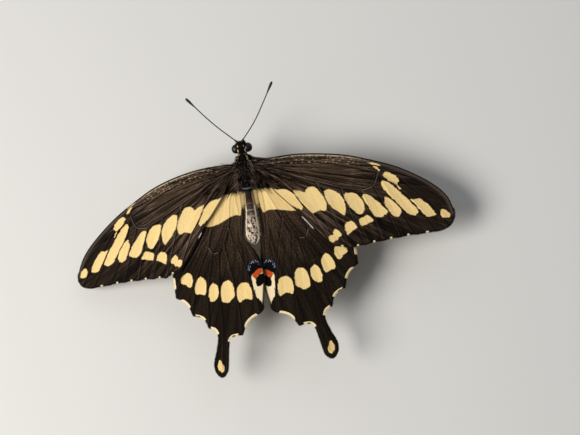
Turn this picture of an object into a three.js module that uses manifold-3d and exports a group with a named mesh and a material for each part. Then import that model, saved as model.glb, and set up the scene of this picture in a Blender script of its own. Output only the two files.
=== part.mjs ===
// A giant swallowtail butterfly, life size, standing on its six legs with all four wings spread.
// Millimetres, +Z up. The head looks along -Y and the animal's left side is +X.

import * as THREE from 'three';
import { mergeVertices } from 'three/addons/utils/BufferGeometryUtils.js';
import Module from 'manifold-3d';

const wasm = await Module();
wasm.setup();

// ---------------------------------------------------------------- driving sizes

const GAP = 0.3; // clearance between neighbouring pieces
const DEGREE = Math.PI / 180;

// Wings. Flat wing coordinates are x outwards from the body's midline and y towards the tail.
const WING_HEIGHT = 13.5; // the plane that both wings of a side leave the body in
const WING_THICKNESS = 0.5;
const WING_LAYER = 0.6; // the forewing lies this far above that plane, the hindwing below it
const ROOT_X = 3.9; // where a wing's root edge stands
const ROOT_EDGE = { forewing: [11.4, 14.6], hindwing: [15.2, 18.4] }; // from and to along the body
const VEIN_RISE = 0.2; // height of a vein ridge over each face of the membrane
const VEIN_FOOT = 0.5; // half the width of a ridge's foot
const VEIN_STEP = 2.6; // distance between stations along a vein
const CREST_SPREAD = 1.4; // largest step along a crest, as a multiple of the room beside it
const CREST_MERGE = 0.5; // crest points nearer than this to another point fall together with it
const MARGIN_STEP = 1.5; // distance between stations along a margin
const FIELD_STEP = 4.4; // distance between the points of the open membrane

// How a wing bends: it rises from the root, then droops towards the tip.
const HINGE = { x: 4.5, y: 2.0 };
const BEND_AXIS = -11.7 * DEGREE;
const ROOT_RISE = 3 * DEGREE;
const DROOP_START = -7.3;
const DROOP_END = 34.4;
const DROOP = { left: 16.6 * DEGREE, right: 8.95 * DEGREE };
const SWING = {
  forewing: { left: 0.94 * DEGREE, right: 0 },
  hindwing: { left: 5.56 * DEGREE, right: 0 },
};
const SWING_START = 2.5; // distance from the root at which the swing begins to come in
const SWING_REACH = 12; // and over how long a way it does
const TIP_SHIFT = { left: [-0.6, 0.8], right: [0.4, -0.5] }; // the two forewings' tips differ a little in cut
const TIP_START = 20;
const TIP_REACH = 35;
const TIP_REAR = 41;
const TIP_DEPTH = 10;
const OVERLAP_LIFT = 0.6; // the left hindwing rises and the right one sinks where they cross
const OVERLAP_WIDTH = 9;
const OVERLAP_START = 27;
const OVERLAP_END = 36;
const FOLD_WIDTH = 4.5; // strip of the hindwing that the inner fold takes up beside the abdomen
const FOLD_TAIL = 8; // how far behind the abdomen the fold runs out
const FOLD_SLOPE = 0.5;

// Body stations: [y, half width, half height].
const HEAD = [
  [4.9, 0.5, 0.5], [5.1, 1.15, 1.1], [5.7, 1.85, 1.75], [6.7, 2.15, 2.05], [7.6, 1.85, 1.85],
  [8.3, 1.3, 1.4], [8.5, 1.1, 1.2],
];
const PROTHORAX = [[8.8, 1.1, 1.2], [9.1, 1.6, 1.6], [9.7, 2.0, 2.0], [10.3, 2.2, 2.2], [10.6, 2.0, 2.1]];
const THORAX = [
  [10.9, 2.1, 2.3], [11.4, 2.7, 2.9], [12.6, 3.2, 3.5], [14.5, 3.4, 3.7], [16.5, 3.3, 3.5],
  [18.3, 2.8, 3.0], [19.5, 2.1, 2.3], [20.0, 1.6, 1.8],
];
const ABDOMEN = [
  [20.3, 1.3, 1.5], [22, 1.45, 1.7], [26.6, 1.75, 2.0], [31.5, 2.25, 2.3], [34, 2.2, 2.0],
  [35.5, 1.4, 1.2], [36.2, 0.5, 0.5],
];
const ABDOMEN_SEGMENTS = 8;
const SEGMENT_GROOVE = 0.06; // depth of a groove between two segments, as a share of the radius
const BODY_SIDES = 16;

// The body's midline: [y, x, height over the wing plane].
const SPINE = [
  [4.8, 0.42, 1.3], [6.7, 0.4, 1.0], [9.7, 0.3, 0.2], [14.5, 0.1, -1.1], [20, -0.05, -0.9],
  [26, -0.4, -1.0], [31, -0.3, -1.3], [36.2, -0.1, -2.2],
];

const EYE_RADIUS = 1.45;
const EYE = { x: 1.65, y: 6.5, z: 0.25 }; // centre, beside the midline

const ANTENNA_THICKNESS = 0.5;
const CLUB_THICKNESS = 0.95;
const CLUB_LENGTH = 3.2;
const SOCKET_RADIUS = 0.42;
const ANTENNA_BASE = { x: 0.75, y: 5.3, z: 1.5 }; // beside the midline

const PALP_THICKNESS = 0.9;
const TONGUE_THICKNESS = 0.5;
const COIL_TURNS = 2;
const COIL_INNER = 0.45;
const COIL_PITCH = 0.85;

// Legs: the hip sits at [x, y] from the midline, and the other joints are [x, y, z] for the left side.
const LEGS = {
  front: {
    hip: [1.0, 9.6], stub: 2.4, coxa: [1.7, 9.1, 8.8], knee: [9.0, 11.9, 8.8],
    ankle: [13.2, 12.9, 0.9], toe: [21.4, 11.3],
  },
  middle: {
    hip: [1.7, 13.4], stub: 3.9, coxa: [2.8, 13.4, 7.4], knee: [10.5, 15.6, 9.0],
    ankle: [15.2, 18.4, 0.9], toe: [22.4, 24.2],
  },
  hind: {
    hip: [1.5, 17.0], stub: 3.5, coxa: [2.4, 17.8, 7.6], knee: [5.9, 25.8, 9.2],
    ankle: [8.8, 31.4, 0.9], toe: [10.6, 40.7],
  },
};
const RIGHT_STRIDE = 1.1; // the right feet stand this much further forward
const COXA_RADIUS = 0.7;
const FEMUR_RADIUS = 0.6;
const KNEE_RADIUS = 0.5;
const TIBIA_RADIUS = 0.36;
const TARSUS_RADIUS = 0.3;
const TARSUS_SEGMENTS = 5;
const SPUR_LENGTH = 1.3;
const CLAW_LENGTH = 0.8;
const LIMB_SIDES = 6;
const SIDEWAYS = new THREE.Vector3(1, 0, 0);

// ---------------------------------------------------------------- colours

const finish = (color, roughness) => new THREE.MeshStandardMaterial({ color, roughness, metalness: 0 });
const WING_UPPER = finish('#1d1511', 0.8);
const BODY_BROWN = finish('#3a2f2b', 0.85);
const HEAD_BLACK = finish('#15110f', 0.8);
const EYE_DARK = finish('#221d26', 0.2);
const HORN_BLACK = finish('#100d0c', 0.5);
const LEG_DARK = finish('#2b221b', 0.6);
const PALP_CREAM = finish('#d8c78a', 0.9);
const TONGUE_BROWN = finish('#2a1a12', 0.4);

const group = new THREE.Group();

function addNode(name, geometry, material) {
  const mesh = new THREE.Mesh(geometry, material);
  mesh.name = name;
  group.add(mesh);
}

// ---------------------------------------------------------------- small maths

const vector = (x, y, z) => new THREE.Vector3(x, y, z);
const flat = (x, y) => new THREE.Vector2(x, y);
const clamp01 = (value) => Math.min(Math.max(value, 0), 1);

function smoothstep(value) {
  const t = clamp01(value);
  return t * t * (3 - 2 * t);
}

// A smooth curve through rows of [position, value, value ...], read at a position.
function readRows(rows, position) {
  const last = rows.length - 1;
  const at = Math.min(Math.max(position, rows[0][0]), rows[last][0]);
  let i = 0;
  while (i < last - 1 && at > rows[i + 1][0]) i += 1;
  const width = rows[i + 1][0] - rows[i][0];
  const t = (at - rows[i][0]) / width;
  const slope = (k, column) => {
    const before = rows[Math.max(k - 1, 0)];
    const after = rows[Math.min(k + 1, last)];
    return (after[column] - before[column]) / (after[0] - before[0]);
  };
  const values = [];
  for (let column = 1; column < rows[0].length; column += 1) {
    const a = rows[i][column];
    const b = rows[i + 1][column];
    const ta = slope(i, column) * width;
    const tb = slope(i + 1, column) * width;
    const t2 = t * t;
    const t3 = t2 * t;
    values.push((2 * t3 - 3 * t2 + 1) * a + (t3 - 2 * t2 + t) * ta + (3 * t2 - 2 * t3) * b + (t3 - t2) * tb);
  }
  return values;
}

function midline(y) {
  const [x, z] = readRows(SPINE, y);
  return vector(x, y, WING_HEIGHT + z);
}

// ---------------------------------------------------------------- meshes and solids

// A closed mesh from corner points and triangles, turned so that its faces point outwards.
function closedMesh(corners, triangles) {
  let volume = 0;
  for (const [a, b, c] of triangles) {
    volume += corners[a].dot(corners[b].clone().cross(corners[c]));
  }
  const faces = volume > 0 ? triangles : triangles.map(([a, b, c]) => [a, c, b]);
  const geometry = new THREE.BufferGeometry();
  geometry.setAttribute('position', new THREE.Float32BufferAttribute(corners.flatMap((p) => p.toArray()), 3));
  geometry.setIndex(faces.flat());
  return geometry;
}

// A skin over rings of equal counts, closed by a fan at each end.
function loft(rings) {
  const sides = rings[0].length;
  const corners = rings.flat();
  const triangles = [];
  for (let r = 0; r < rings.length - 1; r += 1) {
    for (let s = 0; s < sides; s += 1) {
      const a = r * sides + s;
      const b = r * sides + ((s + 1) % sides);
      triangles.push([a, b, b + sides], [a, b + sides, a + sides]);
    }
  }
  const centre = (ring) => ring.reduce((sum, p) => sum.add(p), vector(0, 0, 0)).divideScalar(sides);
  corners.push(centre(rings[0]), centre(rings[rings.length - 1]));
  const first = corners.length - 2;
  const end = (rings.length - 1) * sides;
  for (let s = 0; s < sides; s += 1) {
    const next = (s + 1) % sides;
    triangles.push([first, next, s], [first + 1, end + s, end + next]);
  }
  return closedMesh(corners, triangles);
}

// A direction that a limb doesn't run in, to turn its rings by.
function directionAcross(path) {
  const whole = path[path.length - 1].clone().sub(path[0]).normalize();
  return Math.abs(whole.z) > 0.8 ? vector(0, 1, 0) : vector(0, 0, 1);
}

// A round limb along a path, with a radius for each point of it.
function limb(path, radii, sides = LIMB_SIDES, across = directionAcross(path)) {
  const rings = path.map((point, i) => {
    const before = path[Math.max(i - 1, 0)];
    const after = path[Math.min(i + 1, path.length - 1)];
    const tangent = after.clone().sub(before).normalize();
    const right = tangent.clone().cross(across).normalize();
    const up = right.clone().cross(tangent);
    return Array.from({ length: sides }, (_, s) => {
      const angle = (2 * Math.PI * (s + 0.5)) / sides;
      return point.clone()
        .addScaledVector(right, Math.cos(angle) * radii[i])
        .addScaledVector(up, Math.sin(angle) * radii[i]);
    });
  });
  return loft(rings);
}

function ball(centre, radius) {
  return new THREE.SphereGeometry(radius, 7, 5).translate(centre.x, centre.y, centre.z);
}

function toSolid(geometry) {
  const bare = geometry.clone();
  bare.deleteAttribute('normal');
  bare.deleteAttribute('uv');
  const merged = mergeVertices(bare);
  return new wasm.Manifold(new wasm.Mesh({
    numProp: 3,
    vertProperties: Float32Array.from(merged.attributes.position.array),
    triVerts: Uint32Array.from(merged.index.array),
  }));
}

// Joins pieces, cuts others away and keeps the largest closed surface.
function joined(pieces, cuts = []) {
  let solid = toSolid(pieces[0]);
  for (const piece of pieces.slice(1)) solid = solid.add(toSolid(piece));
  for (const cut of cuts) solid = solid.subtract(toSolid(cut));
  const shells = solid.decompose().sort((a, b) => b.volume() - a.volume());
  const mesh = shells[0].getMesh();
  const geometry = new THREE.BufferGeometry();
  geometry.setAttribute('position', new THREE.Float32BufferAttribute(mesh.vertProperties, 3));
  geometry.setIndex(Array.from(mesh.triVerts));
  return geometry;
}

// ---------------------------------------------------------------- wing plan

const spline = (points) => new THREE.SplineCurve(points.map(([x, y]) => flat(x, y)));

function stations(curve, step) {
  return curve.getSpacedPoints(Math.max(Math.round(curve.getLength() / step), 1));
}

// The margin between vein tips dips in by a shallow bay.
function bays(tips, depth) {
  const points = [];
  for (let i = 0; i < tips.length - 1; i += 1) {
    const a = flat(...tips[i]);
    const b = flat(...tips[i + 1]);
    const chord = b.clone().sub(a);
    const inwards = flat(-chord.y, chord.x).normalize();
    const count = Math.max(Math.round(chord.length() / MARGIN_STEP), 2);
    for (let k = 0; k < count; k += 1) {
      const t = k / count;
      const dip = depth * Math.sin(Math.PI * t);
      points.push(a.clone().addScaledVector(chord, t).addScaledVector(inwards, dip));
    }
  }
  points.push(flat(...tips[tips.length - 1]));
  return points;
}

const TIPS = {
  forewing: {
    R3: [60.6, 34.9], R4: [59.1, 38.8], R5: [55.3, 40.0], M1: [49.2, 40.2], M2: [44.1, 40.4],
    M3: [39.0, 40.8], Cu1: [34.0, 41.3], Cu2: [29.3, 41.9], A1: [24.4, 40.5],
  },
  hindwing: {
    Sc: [30.4, 40.2], Rs: [30.7, 46.3], M1: [26.3, 53.0], M2: [21.9, 57.9],
    Cu1: [11.6, 62.5], Cu2: [5.0, 57.3], anal: [4.4, 54.6],
  },
};
const BAY_DEPTH = { forewing: 0.35, hindwing: 0.85 };

// Where the veins leave one another, from the root outwards.
const CELL = {
  forewing: {
    root: [4.9, 12.6], front: [[12.5, 13.1], [21, 14.2], [30, 16.8]],
    corner: [39.6, 20.5], M2: [37.8, 24.2], M3: [34.2, 25.2], Cu1: [28.2, 23.4], Cu2: [21.0, 20.5],
    rear: [[9.7, 15.3], [16.1, 18.4]], fork: [45.2, 22.6],
  },
  hindwing: {
    root: [4.6, 16.4], Sc: [7.5, 17.2], Rs: [13.6, 25.6], M1: [17.2, 34.0], M2: [16.2, 36.3],
    M3: [14.3, 36.5], Cu1: [12.2, 34.4], Cu2: [9.8, 29.6],
  },
};

// Each vein as the points it runs through, main stems first.
function forewingVeins() {
  const tips = TIPS.forewing;
  const cell = CELL.forewing;
  return {
    radius: [cell.root, ...cell.front, cell.corner],
    cubitus: [[4.9, 13.6], ...cell.rear, cell.Cu2, cell.Cu1, cell.M3],
    cellEnd: [cell.corner, cell.M2, cell.M3],
    R3: [cell.corner, cell.fork, [55.2, 28.9], tips.R3],
    R4: [cell.fork, [53.0, 30.6], [56.7, 35.0], tips.R4],
    R5: [cell.corner, [44.6, 25.4], [50.2, 32.2], tips.R5],
    M1: [cell.corner, [41.8, 26.2], [45.8, 34.2], tips.M1],
    M2: [cell.M2, [40.6, 31.0], tips.M2],
    M3: [cell.M3, [36.6, 32.4], tips.M3],
    Cu1: [cell.Cu1, [30.6, 32.2], tips.Cu1],
    Cu2: [cell.Cu2, [24.6, 29.8], tips.Cu2],
    A1: [[5.3, 15.0], [10.6, 18.7], [17.9, 28.2], tips.A1],
  };
}

function hindwingVeins() {
  const tips = TIPS.hindwing;
  const cell = CELL.hindwing;
  return {
    radius: [cell.root, cell.Sc, cell.Rs, cell.M1],
    cubitus: [[4.6, 17.4], cell.Cu2, cell.Cu1, cell.M3],
    cellEnd: [cell.M1, cell.M2, cell.M3],
    subcosta: [cell.Sc, [18.5, 24.6], [26.4, 34.2], tips.Sc],
    Rs: [cell.Rs, [22, 35.2], [27.8, 41.4], tips.Rs],
    M1: [cell.M1, [23.2, 43.4], tips.M1],
    M2: [cell.M2, [19.8, 47], tips.M2],
    M3: [cell.M3, [16.3, 48], [17.5, 59], [18.8, 65.5], [20.0, 71]],
    Cu1: [cell.Cu1, [11.3, 48.4], tips.Cu1],
    Cu2: [cell.Cu2, [6.4, 46], tips.Cu2],
  };
}

function forewingOutline() {
  const tips = TIPS.forewing;
  const costa = spline([
    [ROOT_X, ROOT_EDGE.forewing[0]], [10, 11.1], [18, 11.4], [29, 13.3], [37.5, 16.2], [46, 20], [54, 25.3],
    [58.6, 30], tips.R3,
  ]);
  const termen = [tips.R4, tips.R5, tips.M1, tips.M2, tips.M3, tips.Cu1, tips.Cu2, tips.A1];
  const inner = spline([
    tips.A1, [20.4, 36.2], [16.0, 30.4], [8.6, 21.9], [5.2, 17.0], [ROOT_X, ROOT_EDGE.forewing[1]],
  ]);
  return [
    ...stations(costa, MARGIN_STEP),
    ...bays(termen, BAY_DEPTH.forewing),
    ...stations(inner, MARGIN_STEP).slice(1),
  ];
}

// The hindwing's inner margin beside the abdomen: [y, x], from the root backwards.
const INNER_MARGIN = [
  [ROOT_EDGE.hindwing[1], ROOT_X], [20.3, 2.6], [22, 2.0], [28, 2.1], [36, 2.2], [42.2, 2.0], [46.5, 1.8],
  [52.2, 3.4],
  [TIPS.hindwing.anal[1], TIPS.hindwing.anal[0]],
];

function hindwingOutline() {
  const tips = TIPS.hindwing;
  const costa = spline([
    [ROOT_X, ROOT_EDGE.hindwing[0]], [7, 14.2], [13, 15.4], [20, 20.6], [26, 28.5], [29.4, 35.5], tips.Sc,
  ]);
  const tail = spline([
    tips.M2, [20.0, 58.9], [19.4, 61.4], [20.7, 65.2], [22.0, 68.6], [21.8, 71.6], [20.3, 73.3],
    [18.6, 72.1], [17.7, 69.2], [16.9, 65.6], [16.0, 63.0], [14.5, 62.2], tips.Cu1,
  ]);
  const inner = spline(INNER_MARGIN.map(([y, x]) => [x, y]).reverse());
  return [
    ...stations(costa, MARGIN_STEP),
    ...bays([tips.Sc, tips.Rs], 0).slice(1),
    ...bays([tips.Rs, tips.M1, tips.M2], BAY_DEPTH.hindwing).slice(1),
    ...stations(tail, MARGIN_STEP).slice(1),
    ...bays([tips.Cu1, tips.Cu2], BAY_DEPTH.hindwing).slice(1),
    ...stations(inner, MARGIN_STEP),
  ];
}

// Delaunay triangles of flat points, by adding one point at a time.
function triangulate(points) {
  const all = [...points, flat(-900, -700), flat(900, -700), flat(0, 1400)];
  const n = points.length;
  const circle = (a, b, c) => {
    const [p, q, r] = [all[a], all[b], all[c]];
    const d = 2 * ((q.x - p.x) * (r.y - p.y) - (q.y - p.y) * (r.x - p.x));
    const q2 = (q.x - p.x) ** 2 + (q.y - p.y) ** 2;
    const r2 = (r.x - p.x) ** 2 + (r.y - p.y) ** 2;
    const x = ((r.y - p.y) * q2 - (q.y - p.y) * r2) / d;
    const y = ((q.x - p.x) * r2 - (r.x - p.x) * q2) / d;
    return { corners: [a, b, c], x: p.x + x, y: p.y + y, reach: x * x + y * y };
  };
  let triangles = [circle(n, n + 1, n + 2)];
  for (let i = 0; i < n; i += 1) {
    const { x, y } = all[i];
    const kept = [];
    const edges = new Map();
    for (const triangle of triangles) {
      if ((x - triangle.x) ** 2 + (y - triangle.y) ** 2 > triangle.reach) {
        kept.push(triangle);
        continue;
      }
      const [a, b, c] = triangle.corners;
      for (const [from, to] of [[a, b], [b, c], [c, a]]) {
        const key = Math.min(from, to) + ',' + Math.max(from, to);
        if (edges.has(key)) edges.delete(key);
        else edges.set(key, [from, to]);
      }
    }
    for (const [from, to] of edges.values()) kept.push(circle(from, to, i));
    triangles = kept;
  }
  return triangles.map((triangle) => triangle.corners).filter((corners) => Math.max(...corners) < n);
}

function isInside(point, outline) {
  let inside = false;
  outline.forEach((a, i) => {
    const b = outline[(i + 1) % outline.length];
    const crosses = (a.y > point.y) !== (b.y > point.y);
    if (crosses && point.x < a.x + ((b.x - a.x) * (point.y - a.y)) / (b.y - a.y)) inside = !inside;
  });
  return inside;
}

const nearest = (p, points) => points.reduce((least, q) => Math.min(least, p.distanceTo(q)), Infinity);

// A wing's flat mesh: its points, how far each rises over the membrane, and its triangles.
// Along each vein a row of raised points runs between two rows at the ridge's foot.
function wingPlan(outline, veins) {
  const points = [];
  for (const p of outline) {
    if (nearest(p, points) > 0.4) points.push(p);
  }
  const margin = points.slice();
  const rise = margin.map(() => 0);
  const add = (p, height, distance) => {
    if (nearest(p, points) < distance) return;
    points.push(p);
    rise.push(height);
  };

  const crests = [];
  const feet = [];
  for (const [name, path] of Object.entries(veins)) {
    const others = Object.keys(veins).filter((other) => other !== name);
    const neighbours = [...margin, ...others.flatMap((other) => spline(veins[other]).getPoints(30))];
    const curve = spline(path);
    const spans = path.length - 1;
    const mark = (t) => {
      const along = curve.getTangent(t);
      const away = flat(-along.y, along.x).multiplyScalar(VEIN_FOOT);
      const p = curve.getPoint(t);
      crests.push(p);
      if (t > 0 && t < 1) feet.push(p.clone().add(away), p.clone().sub(away));
    };
    for (let span = 0; span < spans; span += 1) {
      const length = flat(...path[span]).distanceTo(flat(...path[span + 1]));
      let gone = 0;
      while (gone < length) {
        mark((span + gone / length) / spans);
        const ahead = curve.getPoint((span + Math.min((gone + VEIN_FOOT) / length, 1)) / spans);
        const step = nearest(ahead, neighbours) * CREST_SPREAD;
        gone += Math.min(Math.max(step, VEIN_STEP / 2), VEIN_STEP);
        if (length - gone < VEIN_STEP / 3) gone = length;
      }
    }
    mark(1);
  }
  const isOpen = (p, distance) => isInside(p, margin) && nearest(p, margin) > distance;
  for (const p of crests) {
    const i = margin.findIndex((q) => q.distanceTo(p) < CREST_MERGE);
    if (i >= 0) rise[i] = VEIN_RISE;
    else if (isOpen(p, CREST_MERGE)) add(p, VEIN_RISE, CREST_MERGE);
  }
  for (const p of feet) {
    if (isOpen(p, 0.9 * VEIN_FOOT) && nearest(p, crests) > 0.9 * VEIN_FOOT) add(p, 0, 0.9 * VEIN_FOOT);
  }

  const box = new THREE.Box2().setFromPoints(margin);
  const rowStep = FIELD_STEP * Math.sin(60 * DEGREE);
  for (let row = 0; box.min.y + row * rowStep < box.max.y; row += 1) {
    const indent = (row % 2) * (FIELD_STEP / 2);
    for (let x = box.min.x + indent; x < box.max.x; x += FIELD_STEP) {
      const p = flat(x, box.min.y + row * rowStep);
      if (isInside(p, margin)) add(p, 0, 0.45 * FIELD_STEP);
    }
  }
  const middle = ([a, b, c]) => points[a].clone().add(points[b]).add(points[c]).divideScalar(3);
  const triangles = triangulate(points).filter((corners) => isInside(middle(corners), margin));
  return { points, rise, triangles };
}

// ---------------------------------------------------------------- wing pose

const BEND_STEP = 0.25;
const BEND_COUNT = 360;

// Distance out and height along the bent wing, at equal steps over its surface.
function bendTable(droop) {
  const table = [[0, 0]];
  for (let i = 1; i <= BEND_COUNT; i += 1) {
    const s = i * BEND_STEP;
    const slope = ROOT_RISE - droop * smoothstep((s - DROOP_START) / (DROOP_END - DROOP_START));
    const [out, up] = table[i - 1];
    table.push([out + Math.cos(slope) * BEND_STEP, up + Math.sin(slope) * BEND_STEP]);
  }
  return table;
}
const BEND = { left: bendTable(DROOP.left), right: bendTable(DROOP.right) };
const SIDE_SIGN = { left: 1, right: -1 };

function bentAt(table, s) {
  if (s <= 0) return [s, 0];
  const i = Math.min(Math.floor(s / BEND_STEP), BEND_COUNT - 1);
  const t = s / BEND_STEP - i;
  return [0, 1].map((k) => table[i][k] * (1 - t) + table[i + 1][k] * t);
}

// How far from the midline a hindwing's inner margin has to stay to clear the abdomen.
function innerLimit(y, side) {
  const first = ABDOMEN[0][0];
  const last = ABDOMEN[ABDOMEN.length - 1][0];
  if (y < first || y > last + FOLD_TAIL) return -Infinity;
  const [halfWidth] = readRows(ABDOMEN, y);
  const past = Math.max(y - last, 0);
  return halfWidth + 1.3 * GAP - FOLD_SLOPE * past + SIDE_SIGN[side] * midline(y).x;
}

function swung(flatX, flatY, kind, side) {
  const isTip = kind === 'forewing' ? 1 : 0;
  const tip = isTip * smoothstep((flatX - TIP_START) / TIP_REACH) * clamp01((TIP_REAR - flatY) / TIP_DEPTH);
  const x = flatX + TIP_SHIFT[side][0] * tip;
  const y = flatY + TIP_SHIFT[side][1] * tip;
  const [rootFrom, rootTo] = ROOT_EDGE[kind];
  const fromRoot = Math.hypot(x - ROOT_X, y - (rootFrom + rootTo) / 2);
  const angle = SWING[kind][side] * smoothstep((fromRoot - SWING_START) / SWING_REACH);
  return flat(x, y).rotateAround(flat(HINGE.x, HINGE.y), angle);
}


function posed(x, y, kind, side) {
  let place = swung(x, y, kind, side);
  if (kind === 'hindwing') {
    const [marginX] = readRows(INNER_MARGIN, y);
    const edge = swung(marginX, y, kind, side).x;
    const limit = innerLimit(place.y, side);
    if (limit > edge && place.x < limit + FOLD_WIDTH) {
      const share = (place.x - edge) / (limit + FOLD_WIDTH - edge);
      place = flat(limit + share * FOLD_WIDTH, place.y);
    }
  }
  const dx = place.x - HINGE.x;
  const dy = place.y - HINGE.y;
  const s = dx * Math.cos(BEND_AXIS) - dy * Math.sin(BEND_AXIS);
  const t = dx * Math.sin(BEND_AXIS) + dy * Math.cos(BEND_AXIS);
  const [out, up] = bentAt(BEND[side], s);
  const layer = kind === 'forewing' ? WING_LAYER : -WING_LAYER;
  const centred = 1 - smoothstep(Math.abs(place.x) / OVERLAP_WIDTH);
  const behind = smoothstep((place.y - OVERLAP_START) / (OVERLAP_END - OVERLAP_START));
  const lift = kind === 'hindwing' ? SIDE_SIGN[side] * OVERLAP_LIFT * centred * behind : 0;
  return vector(
    SIDE_SIGN[side] * (HINGE.x + out * Math.cos(BEND_AXIS) + t * Math.sin(BEND_AXIS)),
    HINGE.y - out * Math.sin(BEND_AXIS) + t * Math.cos(BEND_AXIS),
    WING_HEIGHT + up + layer + lift,
  );
}

function wing(plan, kind, side) {
  const probe = 0.05;
  const upper = [];
  const lower = [];
  plan.points.forEach((p, i) => {
    const centre = posed(p.x, p.y, kind, side);
    const alongX = posed(p.x + probe, p.y, kind, side).sub(centre);
    const alongY = posed(p.x, p.y + probe, kind, side).sub(centre);
    const normal = alongX.cross(alongY).normalize();
    if (normal.z < 0) normal.negate();
    const half = WING_THICKNESS / 2 + plan.rise[i];
    upper.push(centre.clone().addScaledVector(normal, half));
    lower.push(centre.clone().addScaledVector(normal, -half));
  });
  const count = plan.points.length;
  const triangles = [];
  const open = new Map();
  for (const [a, b, c] of plan.triangles) {
    triangles.push([a, b, c], [a + count, c + count, b + count]);
    for (const [from, to] of [[a, b], [b, c], [c, a]]) {
      if (open.has(to + ',' + from)) open.delete(to + ',' + from);
      else open.set(from + ',' + to, [from, to]);
    }
  }
  for (const [from, to] of open.values()) {
    triangles.push([to, from, from + count], [to, from + count, to + count]);
  }
  return closedMesh([...upper, ...lower], triangles);
}

// ---------------------------------------------------------------- body

function bodyRing(y, halfWidth, halfHeight) {
  const centre = midline(y);
  return Array.from({ length: BODY_SIDES }, (_, s) => {
    const angle = (2 * Math.PI * s) / BODY_SIDES;
    return vector(centre.x + halfWidth * Math.cos(angle), y, centre.z + halfHeight * Math.sin(angle));
  });
}

function bodyPiece(rows, places, groove = () => 1) {
  return loft(places.map((y) => {
    const [halfWidth, halfHeight] = readRows(rows, y);
    return bodyRing(y, halfWidth * groove(y), halfHeight * groove(y));
  }));
}

function evenPlaces(rows, count) {
  const first = rows[0][0];
  const last = rows[rows.length - 1][0];
  return Array.from({ length: count + 1 }, (_, i) => first + ((last - first) * i) / count);
}

const besideMidline = (point, sign) => {
  const centre = midline(point.y);
  return vector(centre.x + sign * point.x, point.y, centre.z + point.z);
};

function head(sockets) {
  const pieces = [bodyPiece(HEAD, evenPlaces(HEAD, 9)), ...sockets];
  const cuts = [1, -1].map((sign) => {
    const centre = besideMidline(EYE, sign);
    return new THREE.SphereGeometry(EYE_RADIUS + GAP, 16, 12).translate(centre.x, centre.y, centre.z);
  });
  return joined(pieces, cuts);
}

function eye(sign) {
  const centre = besideMidline(EYE, sign);
  return new THREE.SphereGeometry(EYE_RADIUS, 16, 11).translate(centre.x, centre.y, centre.z);
}

// The small blocks that carry the wings, with a flat face each a gap away from a wing's root edge.
function wingMount(kind, sign) {
  const [from, to] = ROOT_EDGE[kind];
  const layer = kind === 'forewing' ? WING_LAYER : -WING_LAYER;
  const inner = 2.0;
  const outer = ROOT_X - GAP;
  const block = new THREE.BoxGeometry(outer - inner, to - from, WING_THICKNESS * 1.8);
  return block.translate((sign * (inner + outer)) / 2, (from + to) / 2, WING_HEIGHT + layer);
}

function abdomen() {
  const first = ABDOMEN[0][0];
  const last = ABDOMEN[ABDOMEN.length - 1][0];
  const segment = (last - first) / ABDOMEN_SEGMENTS;
  const places = [first];
  for (let i = 0; i < ABDOMEN_SEGMENTS; i += 1) {
    const start = first + i * segment;
    places.push(start + 0.15 * segment, start + 0.82 * segment, start + segment);
  }
  const groove = (y) => {
    const share = ((y - first) / segment) % 1;
    const edge = Math.min(share, 1 - share);
    const isEnd = y < first + 0.01 || y > last - 0.01;
    return isEnd ? 1 : 1 - SEGMENT_GROOVE * (1 - smoothstep(edge / 0.12));
  };
  return bodyPiece(ABDOMEN, places, groove);
}

// ---------------------------------------------------------------- antennae and mouth

// Left and right antenna tips and their bends, as [x, y, z].
const ANTENNAE = {
  left: { bend: [7.1, -0.4, 19.4], tip: [13.9, -8.4, 23.8] },
  right: { bend: [-5.6, 0.6, 19.4], tip: [-13.0, -9.2, 23.8] },
};

function antennaCurve(side) {
  const base = besideMidline(ANTENNA_BASE, SIDE_SIGN[side]);
  const { bend, tip } = ANTENNAE[side];
  return new THREE.CatmullRomCurve3([base, vector(...bend), vector(...tip)]);
}

function antenna(side) {
  const curve = antennaCurve(side);
  const length = curve.getLength();
  const start = GAP / length;
  const count = 16;
  const shares = Array.from({ length: count + 1 }, (_, i) => start + (1 - start) * (i / count) ** 0.8);
  const radii = shares.map((share) => {
    const fromTip = (1 - share) * length;
    const round = Math.sqrt(clamp01(fromTip / 0.7 + 0.12));
    const swell = smoothstep((CLUB_LENGTH * 1.3 - fromTip) / CLUB_LENGTH) * round;
    return ANTENNA_THICKNESS / 2 + (CLUB_THICKNESS / 2 - ANTENNA_THICKNESS / 2) * swell;
  });
  return limb(shares.map((share) => curve.getPointAt(share)), radii, 8);
}

// The ring on the head that an antenna grows from.
function antennaSocket(side) {
  const curve = antennaCurve(side);
  const base = curve.getPointAt(0);
  const along = curve.getTangentAt(0);
  return limb([base.clone().addScaledVector(along, -1.4), base], [SOCKET_RADIUS, SOCKET_RADIUS], 8);
}

const PALP = { x: 0.75, y: 5.2, z: -1.35, rise: 2.3, reach: 1.5 };

function palpPath(sign) {
  const base = besideMidline(PALP, sign);
  const out = (x, y, z) => vector(base.x + sign * x, base.y - y, base.z + z);
  return [
    out(0, 0, 0),
    out(0.05, 0.4 * PALP.reach, -0.15),
    out(0.1, 0.75 * PALP.reach, 0.2 * PALP.rise),
    out(0.15, PALP.reach, 0.7 * PALP.rise),
    out(0.15, PALP.reach, PALP.rise),
  ];
}

function palp(sign) {
  const path = palpPath(sign);
  const along = path[1].clone().sub(path[0]).normalize();
  const start = path[0].clone().addScaledVector(along, GAP);
  const r = PALP_THICKNESS / 2;
  return limb([start, ...path.slice(1)], [0.7 * r, r, r, 0.8 * r, 0.35 * r], 8, SIDEWAYS);
}

function palpSocket(sign) {
  const path = palpPath(sign);
  const along = path[1].clone().sub(path[0]).normalize();
  const r = 0.8 * (PALP_THICKNESS / 2);
  return limb([path[0].clone().addScaledVector(along, -1.3), path[0]], [r, r], 8, SIDEWAYS);
}

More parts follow.
